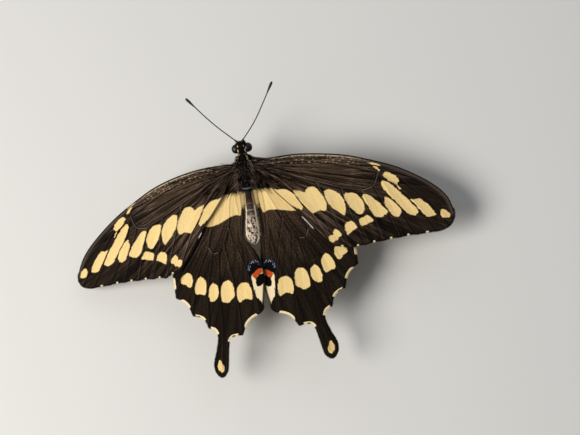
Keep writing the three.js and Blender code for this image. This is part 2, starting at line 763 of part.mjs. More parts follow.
// The tongue hangs from the mouth and is rolled up like a watch spring.
const MOUTH = { y: 5.9, z: -1.9 };

function tongueCurve() {
  const mouth = midline(MOUTH.y).add(vector(0, 0, MOUTH.z));
  const outer = COIL_INNER + COIL_TURNS * COIL_PITCH;
  const centre = mouth.clone().add(vector(0, -outer, -GAP - 0.9));
  const count = 12 * COIL_TURNS;
  const turns = Array.from({ length: count + 1 }, (_, i) => {
    const share = i / count;
    const radius = outer - COIL_TURNS * COIL_PITCH * share;
    const angle = -2 * Math.PI * COIL_TURNS * share;
    return centre.clone().add(vector(0, radius * Math.cos(angle), radius * Math.sin(angle)));
  });
  const start = mouth.clone().add(vector(0, 0, -1.4 * GAP));
  return [start, ...turns];
}

function tongue() {
  const path = tongueCurve();
  const last = path.length - 1;
  const radii = path.map((_, i) => (TONGUE_THICKNESS / 2) * (1 - 0.35 * (i / last)));
  return limb(path, radii, 7, SIDEWAYS);
}

function mouthSocket() {
  const mouth = midline(MOUTH.y).add(vector(0, 0, MOUTH.z));
  return limb([mouth.clone().add(vector(0, 0, 1)), mouth], [0.35, 0.3], 8);
}

// ---------------------------------------------------------------- legs

function hipStub(name, sign) {
  const { hip, stub, coxa } = LEGS[name];
  const centre = midline(hip[1]);
  const root = vector(centre.x + sign * hip[0], hip[1], centre.z);
  const towards = vector(sign * coxa[0], coxa[1], coxa[2]).sub(root).normalize();
  return { root, towards, end: root.clone().addScaledVector(towards, stub) };
}

function hipSocket(name, sign) {
  const { root, towards, end } = hipStub(name, sign);
  const start = root.clone().addScaledVector(towards, 0.4);
  return limb([start, end], [COXA_RADIUS, COXA_RADIUS]);
}

function tarsusRing(point, along, radius) {
  const side = vector(-along.y, along.x, 0);
  const height = radius * Math.cos(30 * DEGREE);
  return Array.from({ length: 6 }, (_, s) => {
    const angle = (s + 0.5) * 60 * DEGREE + 30 * DEGREE;
    const up = Math.max(height + radius * Math.sin(angle), 0);
    return vector(point.x, point.y, up).addScaledVector(side, radius * Math.cos(angle));
  });
}

// The foot lies flat on the ground, in five beads that end in two claws.
function tarsus(from, to) {
  const along = vector(to.x - from.x, to.y - from.y, 0);
  const length = along.length();
  along.normalize();
  const rings = [];
  for (let i = 0; i < TARSUS_SEGMENTS; i += 1) {
    const a = (i / TARSUS_SEGMENTS) * length;
    const bead = length / TARSUS_SEGMENTS;
    const thick = TARSUS_RADIUS * (1 - 0.08 * i);
    for (const [share, scale] of [[0.04, 0.8], [0.7, 1], [0.96, 1.05]]) {
      rings.push(tarsusRing(from.clone().addScaledVector(along, a + share * bead), along, thick * scale));
    }
  }
  return loft(rings);
}

function claw(toe, along, sign) {
  const side = vector(-along.y, along.x, 0).multiplyScalar(sign);
  const point = (forward, out, up) => vector(toe.x, toe.y, up)
    .addScaledVector(along, forward)
    .addScaledVector(side, out);
  const path = [
    point(-0.6 * CLAW_LENGTH, 0.05, 0.22),
    point(0.25 * CLAW_LENGTH, 0.3, 0.35),
    point(CLAW_LENGTH, 0.55, 0.12),
  ];
  return limb(path, [0.16, 0.14, 0.06], 4);
}

function leg(name, side) {
  const sign = SIDE_SIGN[side];
  const shape = LEGS[name];
  const stride = side === 'right' ? RIGHT_STRIDE : 0;
  const place = ([x, y, z], share) => vector(sign * x, y - stride * share, z);
  const hip = hipStub(name, sign);
  const start = hip.end.clone().addScaledVector(hip.towards, GAP);
  const coxa = place(shape.coxa, 0);
  const knee = place(shape.knee, 0.5);
  const ankle = place(shape.ankle, 1);
  const toe = place([...shape.toe, 0], 1);
  const heel = vector(ankle.x, ankle.y, 0);
  const along = toe.clone().sub(heel).normalize();
  const thigh = (share) => coxa.clone().lerp(knee, share);
  const shin = (share) => knee.clone().lerp(ankle, share);
  const ankleEnd = vector(ankle.x, ankle.y, 0.45).addScaledVector(along, 0.3);
  const spur = (out) => {
    const from = shin(0.88);
    const tip = from.clone().addScaledVector(along, SPUR_LENGTH * 0.7)
      .add(vector(-along.y * out, along.x * out, -0.25));
    return limb([from, tip], [0.16, 0.05], 4);
  };
  return joined([
    limb([start, coxa], [COXA_RADIUS, FEMUR_RADIUS * 0.9]),
    ball(coxa, FEMUR_RADIUS),
    limb([coxa, thigh(0.35), thigh(0.75), knee], [0.4, FEMUR_RADIUS, 0.5, 0.36]),
    ball(knee, KNEE_RADIUS),
    limb([knee, shin(0.5), ankleEnd], [TIBIA_RADIUS * 0.9, TIBIA_RADIUS, 0.3]),
    tarsus(heel.clone().addScaledVector(along, -0.1), toe),
    claw(toe, along, 1),
    claw(toe, along, -1),
    spur(0.6),
    spur(-0.6),
  ]);
}

// ---------------------------------------------------------------- the butterfly

const SIDES = ['left', 'right'];
const forewingPlan = wingPlan(forewingOutline(), forewingVeins());
const hindwingPlan = wingPlan(hindwingOutline(), hindwingVeins());

addNode('head', head([
  antennaSocket('left'), antennaSocket('right'), palpSocket(1), palpSocket(-1), mouthSocket(),
]), HEAD_BLACK);
addNode('prothorax', joined([
  bodyPiece(PROTHORAX, evenPlaces(PROTHORAX, 5)), hipSocket('front', 1), hipSocket('front', -1),
]), HEAD_BLACK);
addNode('thorax', joined([
  bodyPiece(THORAX, evenPlaces(THORAX, 11)),
  ...[1, -1].flatMap((sign) => [
    wingMount('forewing', sign), wingMount('hindwing', sign),
    hipSocket('middle', sign), hipSocket('hind', sign),
  ]),
]), BODY_BROWN);
addNode('abdomen', abdomen(), BODY_BROWN);
addNode('proboscis', tongue(), TONGUE_BROWN);
for (const side of SIDES) {
  const sign = SIDE_SIGN[side];
  addNode('eye_' + side, eye(sign), EYE_DARK);
  addNode('palp_' + side, palp(sign), PALP_CREAM);
  addNode('antenna_' + side, antenna(side), HORN_BLACK);
  addNode('forewing_' + side, wing(forewingPlan, 'forewing', side), WING_UPPER);
  addNode('hindwing_' + side, wing(hindwingPlan, 'hindwing', side), WING_UPPER);
  for (const name of Object.keys(LEGS)) addNode('leg_' + name + '_' + side, leg(name, side), LEG_DARK);
}

// Stand the model on z = 0 with the origin under the middle of its box.
const size = new THREE.Box3().setFromObject(group);
const middle = size.getCenter(vector(0, 0, 0));
group.position.set(-middle.x, -middle.y, -size.min.z);
group.updateMatrixWorld(true);

export default group;
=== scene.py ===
"""A swallowtail butterfly, life size, standing with its wings spread.

Sizes are in millimetres in the maker's own plan, and become metres in the frame as a mesh is made.
The plan has the head towards -Y, the animal's left side towards +X and the ground at z = 0.
"""

import math

import bpy
import numpy as np
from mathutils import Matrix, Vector, geometry, kdtree


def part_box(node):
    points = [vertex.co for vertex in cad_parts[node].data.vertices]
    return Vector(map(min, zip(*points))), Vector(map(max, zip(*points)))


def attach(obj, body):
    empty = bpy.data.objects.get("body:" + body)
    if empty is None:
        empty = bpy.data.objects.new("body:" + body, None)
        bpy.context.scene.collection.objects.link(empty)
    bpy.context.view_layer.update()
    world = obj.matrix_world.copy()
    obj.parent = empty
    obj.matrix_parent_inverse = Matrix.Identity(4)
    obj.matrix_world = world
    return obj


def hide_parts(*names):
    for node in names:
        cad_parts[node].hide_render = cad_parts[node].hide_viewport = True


bl_info = {
    "name": "Swallowtail butterfly",
    "version": (1, 0, 0),
    "blender": (4, 5, 0),
    "location": "3D View > Sidebar > Butterfly",
    "description": "Builds a life-size swallowtail with scaled wings, a furred body and its stage",
    "category": "Add Mesh",
}

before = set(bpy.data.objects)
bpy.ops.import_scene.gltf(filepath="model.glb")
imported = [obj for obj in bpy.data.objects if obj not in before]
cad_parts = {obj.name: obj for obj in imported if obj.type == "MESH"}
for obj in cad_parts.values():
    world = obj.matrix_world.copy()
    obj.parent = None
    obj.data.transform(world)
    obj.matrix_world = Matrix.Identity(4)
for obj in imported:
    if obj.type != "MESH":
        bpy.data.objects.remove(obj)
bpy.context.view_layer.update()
MM = 0.001
SIDES = {"left": 1, "right": -1}

# ---------------------------------------------------------------- the plan's measures

WING_HEIGHT = 13.5
WING_LAYER = 0.6
ROOT_X = 3.9
ROOT_EDGE = {"forewing": (11.4, 14.6), "hindwing": (15.2, 18.4)}
HINGE = np.array([4.5, 2.0])
BEND_AXIS = math.radians(-11.7)
ROOT_RISE = math.radians(3)
DROOP_START = -7.3
DROOP_END = 34.4
DROOP = {"left": math.radians(16.6), "right": math.radians(8.95)}
SWING = {
    ("forewing", "left"): math.radians(0.94),
    ("hindwing", "left"): math.radians(5.56),
    ("forewing", "right"): 0.0,
    ("hindwing", "right"): 0.0,
}
SWING_START = 2.5
SWING_REACH = 12
TIP_SHIFT = {"left": (-0.6, 0.8), "right": (0.4, -0.5)}
OVERLAP_LIFT = 0.6
FOLD_WIDTH = 4.5
FOLD_TAIL = 8
FOLD_SLOPE = 0.5
GAP = 0.3

CHEST_FRONT = 10.9
BELLY_START, BELLY_END = 20.3, 36.2

# Body stations: y, half width, half height.
BODY = [
    (4.9, 0.5, 0.5), (5.1, 1.15, 1.1), (5.7, 1.85, 1.75), (6.7, 2.15, 2.05), (7.6, 1.85, 1.85),
    (8.3, 1.3, 1.4), (8.7, 1.15, 1.2), (9.1, 1.6, 1.6), (9.7, 2.0, 2.0), (10.3, 2.2, 2.2),
    (10.75, 2.15, 2.25), (11.4, 2.7, 2.9), (12.6, 3.2, 3.5), (14.5, 3.4, 3.7), (16.5, 3.3, 3.5),
    (18.3, 2.8, 3.0), (19.5, 2.1, 2.3), (20.15, 1.5, 1.7), (20.8, 1.35, 1.55), (22.0, 1.45, 1.7),
    (26.6, 1.75, 2.0), (31.5, 2.25, 2.3), (34.0, 2.2, 2.0), (35.5, 1.4, 1.2), (36.2, 0.5, 0.5),
]
ABDOMEN = [(BELLY_START, 1.3, 1.5), *BODY[-6:]]
SEGMENTS = 8

# The body's midline: y, x, height over the wing plane.
SPINE = [
    (4.8, 0.42, 1.3), (6.7, 0.4, 1.0), (9.7, 0.3, 0.2), (14.5, 0.1, -1.1), (20, -0.05, -0.9),
    (26, -0.4, -1.0), (31, -0.3, -1.3), (36.2, -0.1, -2.2),
]
EYE_RADIUS = 1.45
EYE = (1.75, 6.82, -0.3)

# Where the veins meet a wing's margin.
TIPS = {
    "forewing": {
        "R3": (60.6, 34.9), "R4": (59.1, 38.8), "R5": (55.3, 40.0), "M1": (49.2, 40.2), "M2": (44.1, 40.4),
        "M3": (39, 40.8), "Cu1": (34, 41.3), "Cu2": (29.3, 41.9), "A1": (24.4, 40.5),
    },
    "hindwing": {
        "Sc": (30.4, 40.2), "Rs": (30.7, 46.3), "M1": (26.3, 53.0), "M2": (21.9, 57.9),
        "Cu1": (11.6, 62.5), "Cu2": (5.0, 57.6), "anal": (3.6, 54.8),
    },
}
INNER_MARGIN = [
    (18.4, 3.9), (19.3, 2.5), (20.4, 1.8), (22, 1.65), (25, 1.85), (28, 2.1), (36, 2.2), (42.2, 2.0),
    (46.5, 1.8), (52.2, 2.9), (54.8, 3.6),
]


# ---------------------------------------------------------------- curves and tables


def smoothstep(value):
    t = np.clip(value, 0, 1)
    return t * t * (3 - 2 * t)


def bell(value, width):
    """A smooth bump that is highest where the value is zero."""
    return np.exp(-((value / width) ** 2))


def unit(vectors):
    return vectors / np.maximum(np.linalg.norm(vectors, axis=-1, keepdims=True), 1e-9)


def run_along(line):
    """Distance along a line from its start to each of its points."""
    return np.concatenate([[0], np.cumsum(np.linalg.norm(np.diff(line, axis=0), axis=1))])


def beside(line):
    """The way out to one side of a flat line, at each of its points."""
    along = unit(np.gradient(line, axis=0))
    return np.stack([along[:, 1], -along[:, 0]], 1)


def ring_angles(sides):
    return np.arange(sides) * 2 * np.pi / sides


def read_rows(rows, position):
    """A smooth curve through rows of (position, value ...), read at many positions."""
    table = np.array(rows, float)
    at = np.clip(np.asarray(position, float), table[0, 0], table[-1, 0])
    last = len(table) - 1
    slopes = np.empty((last + 1, table.shape[1] - 1))
    for k in range(last + 1):
        before, after = table[max(k - 1, 0)], table[min(k + 1, last)]
        slopes[k] = (after[1:] - before[1:]) / (after[0] - before[0])
    i = np.clip(np.searchsorted(table[:, 0], at, side="left") - 1, 0, last - 1)
    width = table[i + 1, 0] - table[i, 0]
    t = (at - table[i, 0]) / width
    values = []
    for k in range(table.shape[1] - 1):
        a, b = table[i, k + 1], table[i + 1, k + 1]
        ta, tb = slopes[i, k] * width, slopes[i + 1, k] * width
        values.append(
            (2 * t**3 - 3 * t**2 + 1) * a + (t**3 - 2 * t**2 + t) * ta
            + (3 * t**2 - 2 * t**3) * b + (t**3 - t**2) * tb
        )
    return values


def evenly(line, step):
    """The same line with points a step apart."""
    line = np.asarray(line, float)
    run = run_along(line)
    at = np.linspace(0, run[-1], max(int(round(run[-1] / step)), 1) + 1)
    return np.stack([np.interp(at, run, values) for values in line.T], 1)


def spline(points, step):
    """A smooth curve through the points, with its own points a step apart."""
    p = np.array(points, float)
    q = np.vstack([p[:1], p, p[-1:]])
    t = np.linspace(0, 1, 24, endpoint=False)[:, None]
    parts = []
    for p0, p1, p2, p3 in zip(q, q[1:], q[2:], q[3:]):
        v0, v1 = (p2 - p0) / 2, (p3 - p1) / 2
        parts.append(
            (2 * p1 - 2 * p2 + v0 + v1) * t**3 + (-3 * p1 + 3 * p2 - 2 * v0 - v1) * t**2 + v0 * t + p1
        )
    return evenly(np.vstack([*parts, p[-1:]]), step)


def rounded(corners):
    """A closed outline with its corners cut once."""
    p = np.array(corners, float)
    after = np.roll(p, -1, axis=0)
    return np.stack([p + (after - p) * 0.2, after - (after - p) * 0.2], 1).reshape(-1, 2)


def distance_to_line(points, line):
    """Distance from each point to a line of points, the place along it and which side it is on."""
    run = run_along(line)
    best = np.full(len(points), 1e9)
    along = np.zeros(len(points))
    side = np.ones(len(points))
    for k, d in enumerate(np.diff(line, axis=0)):
        rel = points - line[k]
        t = np.clip(rel @ d / max(d @ d, 1e-12), 0, 1)
        gap = np.hypot(*(rel - t[:, None] * d).T)
        near = gap < best
        best = np.where(near, gap, best)
        along = np.where(near, run[k] + t * (run[k + 1] - run[k]), along)
        side = np.where(near, np.sign(d[0] * rel[:, 1] - d[1] * rel[:, 0]), side)
    return best, along, side


def inside(points, outline):
    x, y = points.T
    result = np.zeros(len(points), bool)
    for (ax, ay), (bx, by) in zip(outline, np.roll(outline, -1, axis=0)):
        if ay != by:
            result ^= ((ay > y) != (by > y)) & (x < (bx - ax) * (y - ay) / (by - ay) + ax)
    return result


def closed(outline):
    return np.vstack([outline, outline[:1]])


def signed_distance(points, outline):
    """Distance to a closed outline, below zero inside it."""
    far = distance_to_line(points, closed(outline))[0]
    return np.where(inside(points, outline), -far, far)


def nearest_of(points, outlines):
    """Distance to the nearest of several closed outlines, below zero inside one."""
    best = np.full(len(points), 4.0)
    for outline in outlines:
        ring = rounded(outline)
        near = np.all((points > ring.min(0) - 1.5) & (points < ring.max(0) + 1.5), axis=1)
        best[near] = np.minimum(best[near], signed_distance(points[near], ring))
    return best


# ---------------------------------------------------------------- place in the frame


CHEST_LOW, CHEST_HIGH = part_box("thorax")
SHIFT = np.array([(CHEST_LOW.x + CHEST_HIGH.x) / 2 / MM, CHEST_LOW.y / MM - CHEST_FRONT, 0.0])


def in_frame(points):
    return (np.asarray(points, float) + SHIFT) * MM


def linked(name, data):
    """A new object in the scene."""
    item = bpy.data.objects.new(name, data)
    bpy.context.scene.collection.objects.link(item)
    return item


def set_points(mesh, points):
    mesh.vertices.add(len(points))
    mesh.vertices.foreach_set("co", in_frame(points).astype(np.float32).ravel())


def mesh_object(name, points, faces, materials, slots=None):
    """A closed piece from points and triangles of the plan."""
    mesh = bpy.data.meshes.new(name)
    faces = np.asarray(faces, np.int32)
    set_points(mesh, points)
    mesh.loops.add(faces.size)
    mesh.loops.foreach_set("vertex_index", faces.ravel())
    mesh.polygons.add(len(faces))
    mesh.polygons.foreach_set("loop_start", np.arange(0, faces.size, 3, dtype=np.int32))
    for material in materials:
        mesh.materials.append(material)
    if slots is not None:
        mesh.polygons.foreach_set("material_index", np.asarray(slots, np.int32))
    mesh.update(calc_edges=True)
    mesh.validate()
    mesh.polygons.foreach_set("use_smooth", np.ones(len(mesh.polygons), bool))
    return linked(name, mesh)


def give(piece, name, values):
    """Stores a number, a vector or a colour for each point of a piece."""
    values = np.asarray(values, np.float32)
    kind, field = {1: ("FLOAT", "value"), 3: ("FLOAT_VECTOR", "vector"), 4: ("FLOAT_COLOR", "color")}[
        values.size // len(values)]
    piece.data.attributes.new(name, kind, "POINT").data.foreach_set(field, values.ravel())


def paint(piece, colours):
    """Stores the colours that a finish reads as the coat."""
    give(piece, "coat", np.column_stack([colours, np.ones(len(colours))]))


def settle(piece, slot, *nodes):
    """A finished piece rides on the body and stands for its nodes. Its slot is not used."""
    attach(piece, "root")
    if nodes:
        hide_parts(*nodes)
    return piece


# ---------------------------------------------------------------- node materials


def tone(code):
    """A colour as the shader reads it, from its usual six-figure name."""
    parts = [int(code[i:i + 2], 16) / 255 for i in (1, 3, 5)]
    return np.array([c / 12.92 if c <= 0.04045 else ((c + 0.055) / 1.055) ** 2.4 for c in parts])


def plug(tree, socket, value):
    """Links another socket to this one, or sets it. A colour may be given by its name."""
    if isinstance(value, bpy.types.NodeSocket):
        tree.links.new(value, socket)
    elif socket.type == "RGBA":
        socket.default_value = (*(tone(value) if isinstance(value, str) else value), 1)
    else:
        socket.default_value = value


def add_node(tree, kind, plugs=(), **settings):
    """A new node with its settings and its sockets plugged."""
    node = tree.nodes.new(kind)
    for key, value in settings.items():
        setattr(node, key, value)
    for socket, value in dict(plugs).items():
        plug(tree, node.inputs[socket], value)
    return node


class Finish:
    """A material, built a node at a time."""

    def __init__(self, name, roughness, **sockets):
        self.material = bpy.data.materials.new(name)
        self.material.use_nodes = True
        self.tree = self.material.node_tree
        self.shader = self.tree.nodes["Principled BSDF"]
        for socket, value in {"Roughness": roughness, **sockets}.items():
            self.shader.inputs[socket.replace("_", " ")].default_value = value

    def read(self, attribute, output="Fac"):
        return add_node(self.tree, "ShaderNodeAttribute", attribute_name=attribute).outputs[output]

    def place(self):
        return add_node(self.tree, "ShaderNodeTexCoord").outputs["Object"]

    def stretched(self, vector, scale):
        """The vector scaled by one number, or by one for each axis."""
        plugs = {"Vector": vector, "Scale": np.ones(3) * scale}
        return add_node(self.tree, "ShaderNodeMapping", plugs).outputs["Vector"]

    def noise(self, vector, scale, detail=3, roughness=0.6):
        plugs = {
            "Vector": self.stretched(vector, scale), "Scale": 1, "Detail": detail, "Roughness": roughness,
        }
        return add_node(self.tree, "ShaderNodeTexNoise", plugs).outputs["Fac"]

    def cells(self, vector, scale):
        plugs = {"Vector": self.stretched(vector, scale), "Scale": 1}
        return add_node(self.tree, "ShaderNodeTexVoronoi", plugs).outputs["Distance"]

    def split(self, vector):
        return add_node(self.tree, "ShaderNodeSeparateXYZ", {0: vector}).outputs

    def sum(self, operation, *parts):
        return add_node(self.tree, "ShaderNodeMath", enumerate(parts), operation=operation).outputs[0]

    def plus(self, a, b):
        return self.sum("ADD", a, b)

    def times(self, *parts):
        """The product of all parts."""
        result = parts[0]
        for part in parts[1:]:
            result = self.sum("MULTIPLY", result, part)
        return result

    def away(self, a, b):
        """How far two numbers are apart."""
        return self.sum("ABSOLUTE", self.sum("SUBTRACT", a, b))

    def between(self, value, low, high, at_low=0.0, at_high=1.0):
        plugs = enumerate((value, low, high, at_low, at_high))
        return add_node(self.tree, "ShaderNodeMapRange", plugs, interpolation_type="SMOOTHSTEP").outputs[0]

    def mix(self, share, a, b, blend="MIX"):
        plugs = {"Factor": share, 6: a, 7: b}
        return add_node(self.tree, "ShaderNodeMix", plugs, data_type="RGBA", blend_type=blend).outputs[2]

    def over(self, base, *layers):
        """The base with each layer's colour laid over it by its share."""
        for share, colour in layers:
            base = self.mix(share, base, colour)
        return base

    def bump(self, height, strength, distance):
        plugs = {"Strength": strength, "Distance": distance, "Height": height}
        return add_node(self.tree, "ShaderNodeBump", plugs).outputs["Normal"]

    def done(self, colour, normal=None, roughness=None):
        for socket, value in (("Base Color", colour), ("Normal", normal), ("Roughness", roughness)):
            if value is not None:
                plug(self.tree, self.shader.inputs[socket], value)
        return self.material


# ---------------------------------------------------------------- the wings' plan


def inwards_from(a, b):
    """The way from a margin between two vein tips into the wing."""
    x, y = b - a
    return np.array([-y, x]) / np.linalg.norm(b - a)


def bays(tips, depth, step):
    """A margin that curves in, or out below zero, between neighbouring vein tips."""
    tips = np.array(tips, float)
    points = []
    for a, b, deep in zip(tips, tips[1:], np.broadcast_to(depth, len(tips) - 1)):
        t = np.linspace(0, 1, max(int(round(np.linalg.norm(b - a) / step)), 2), endpoint=False)[:, None]
        points.append(a + (b - a) * t + inwards_from(a, b) * deep * np.sin(np.pi * t))
    return np.vstack([*points, tips[-1:]])


COSTA = {
    "forewing": [
        (2.7, 11.4), (10, 11.1), (18, 11.4), (29, 13.3), (37.5, 16.2), (46, 20), (54, 25.3), (58.6, 30),
        TIPS["forewing"]["R3"],
    ],
    "hindwing": [
        (2.7, 15.2), (7, 14.2), (13, 15.4), (20, 20.6), (26, 28.5), (29.4, 35.5), TIPS["hindwing"]["Sc"],
    ],
}
FAN_CENTRE = {"forewing": np.array([1.5, 11.9]), "hindwing": np.array([1.5, 13.5])}


def forewing_outline(step, root):
    tips = TIPS["forewing"]
    costa = spline([(root, 11.4), *COSTA["forewing"][1:]], step)
    termen = bays(list(tips.values()), [-0.5, -0.25, 0.1, 0.25, 0.25, 0.3, 0.35, 0.35], step)
    inner = spline([tips["A1"], (20.4, 36.2), (16.0, 30.4), (8.6, 21.9), (5.2, 17.0), (root, 14.6)], step)
    return np.vstack([costa[:-1], termen, inner[1:]])


def hindwing_outline(step, root):
    tips = TIPS["hindwing"]
    costa = spline([(root, 15.2), *COSTA["hindwing"][1:]], step)
    shoulder = bays([tips["Sc"], tips["Rs"]], 0.0, step)
    front = bays([tips[k] for k in ("Rs", "M1", "M2")], [1.15, 1.25], step)
    tail = spline([
        tips["M2"], (20, 58.9), (19.4, 61.4), (20.8, 65.4), (22.3, 68.8), (22.1, 71.6), (20.5, 73.3),
        (18.6, 72.1), (17.7, 69.2), (16.9, 65.6), (16, 63), (14.5, 62.2), tips["Cu1"],
    ], step)
    back = bays([tips[k] for k in ("Cu1", "Cu2", "anal")], [1.25, -0.55], step)
    inner = spline([(x, y) for y, x in INNER_MARGIN[:0:-1]] + [(root, 18.4)], step)
    return np.vstack([costa[:-1], shoulder[:-1], front[:-1], tail[:-1], back[:-1], inner])


OUTLINES = {"forewing": forewing_outline, "hindwing": hindwing_outline}


# Main veins rise in the membrane, fine ones only colour it.
VEINS = {
    "forewing": {
        "radius": [(4.0, 12.6), (12.5, 13.1), (21, 14.2), (30, 16.8), (39.6, 20.5)],
        "cubitus": [(4.0, 13.6), (9.7, 15.3), (16.1, 18.4), (21, 20.5), (28.2, 23.4), (34.2, 25.2)],
        "cell_end": [(39.6, 20.5), (37.8, 24.2), (34.2, 25.2)],
        "R3": [(39.6, 20.5), (45.2, 22.6), (55.2, 28.9), (60.6, 34.9)],
        "R4": [(45.2, 22.6), (53, 30.6), (56.7, 35), (59.1, 38.8)],
        "R5": [(39.6, 20.5), (44.6, 25.4), (50.2, 32.2), (55.3, 40.0)],
        "M1": [(39.6, 20.5), (41.8, 26.2), (45.8, 34.2), (49.2, 40.2)],
        "M2": [(37.8, 24.2), (40.6, 31), (44.1, 40.4)],
        "M3": [(34.2, 25.2), (36.6, 32.4), (39, 40.8)],
        "Cu1": [(28.2, 23.4), (30.6, 32.2), (34, 41.3)],
        "Cu2": [(21, 20.5), (24.6, 29.8), (29.3, 41.9)],
        "A1": [(4.0, 14.4), (10.6, 18.7), (17.9, 28.2), (24.4, 40.5)],
        "Sc": [(4.0, 12.0), (14, 12), (26, 13.4), (37.6, 16.2)],
        "R1": [(29.6, 16.6), (38, 18), (46.2, 20.1)],
        "R2": [(35, 18.4), (45, 21.3), (53.8, 25.2)],
    },
    "hindwing": {
        "radius": [(3.8, 16.4), (7.5, 17.2), (13.6, 25.6), (17.2, 34)],
        "cubitus": [(3.8, 17.3), (9.8, 29.6), (12.2, 34.4), (14.3, 36.5)],
        "cell_end": [(17.2, 34), (16.2, 36.3), (14.3, 36.5)],
        "Sc": [(7.5, 17.2), (18.5, 24.6), (26.4, 34.2), (30.4, 40.2)],
        "Rs": [(13.6, 25.6), (22, 35.2), (27.8, 41.4), (30.7, 46.3)],
        "M1": [(17.2, 34), (23.2, 43.4), (26.3, 53.0)],
        "M2": [(16.2, 36.3), (19.8, 47), (21.9, 57.9)],
        "M3": [(14.3, 36.5), (16.3, 48), (17.5, 59), (18.8, 65.5), (20, 71)],
        "Cu1": [(12.2, 34.4), (11.3, 48.4), (11.6, 62.5)],
        "Cu2": [(9.8, 29.6), (6.4, 46), (5.0, 57.3)],
        "anal": [(3.8, 18.0), (4.3, 28), (3.7, 38), (3.4, 44)],
    },
}

FINE_VEINS = ("Sc", "R1", "R2", "anal")

# How far apart two veins lie in the scales' noise, so that each has a pattern of its own.
VEIN_LAYER = 7.3
CELL_END_LAYER = VEIN_LAYER * list(VEINS["forewing"]).index("cell_end")


def crescent(line, thick, outwards=0.3):
    """A crescent along a short line at the margin, thickest in its middle."""
    line = spline(line, 0.25)
    side = beside(line)
    swell = np.sin(np.pi * np.linspace(0.04, 0.96, len(line)))[:, None] ** 0.6 * thick / 2
    return np.vstack([line + side * swell, (line - side * (swell + outwards))[::-1]])


def between_tips(first, start, end, bay, inner, outer):
    """Marks along the bays between neighbouring vein tips of the forewing, from the first one on."""
    names = list(TIPS["forewing"])
    tips = np.array([TIPS["forewing"][name] for name in names[names.index(first):]])
    marks = []
    for a, b in zip(tips, tips[1:]):
        inwards = inwards_from(a, b)
        t = np.linspace(start, end, 9)[:, None]
        edge = a + (b - a) * t + inwards * bay * np.sin(np.pi * t)
        swell = np.sin(np.pi * (t - start) / (end - start)) ** 0.7
        marks.append(np.vstack([edge + inwards * outer, (edge + inwards * inner * swell)[::-1]]))
    return marks


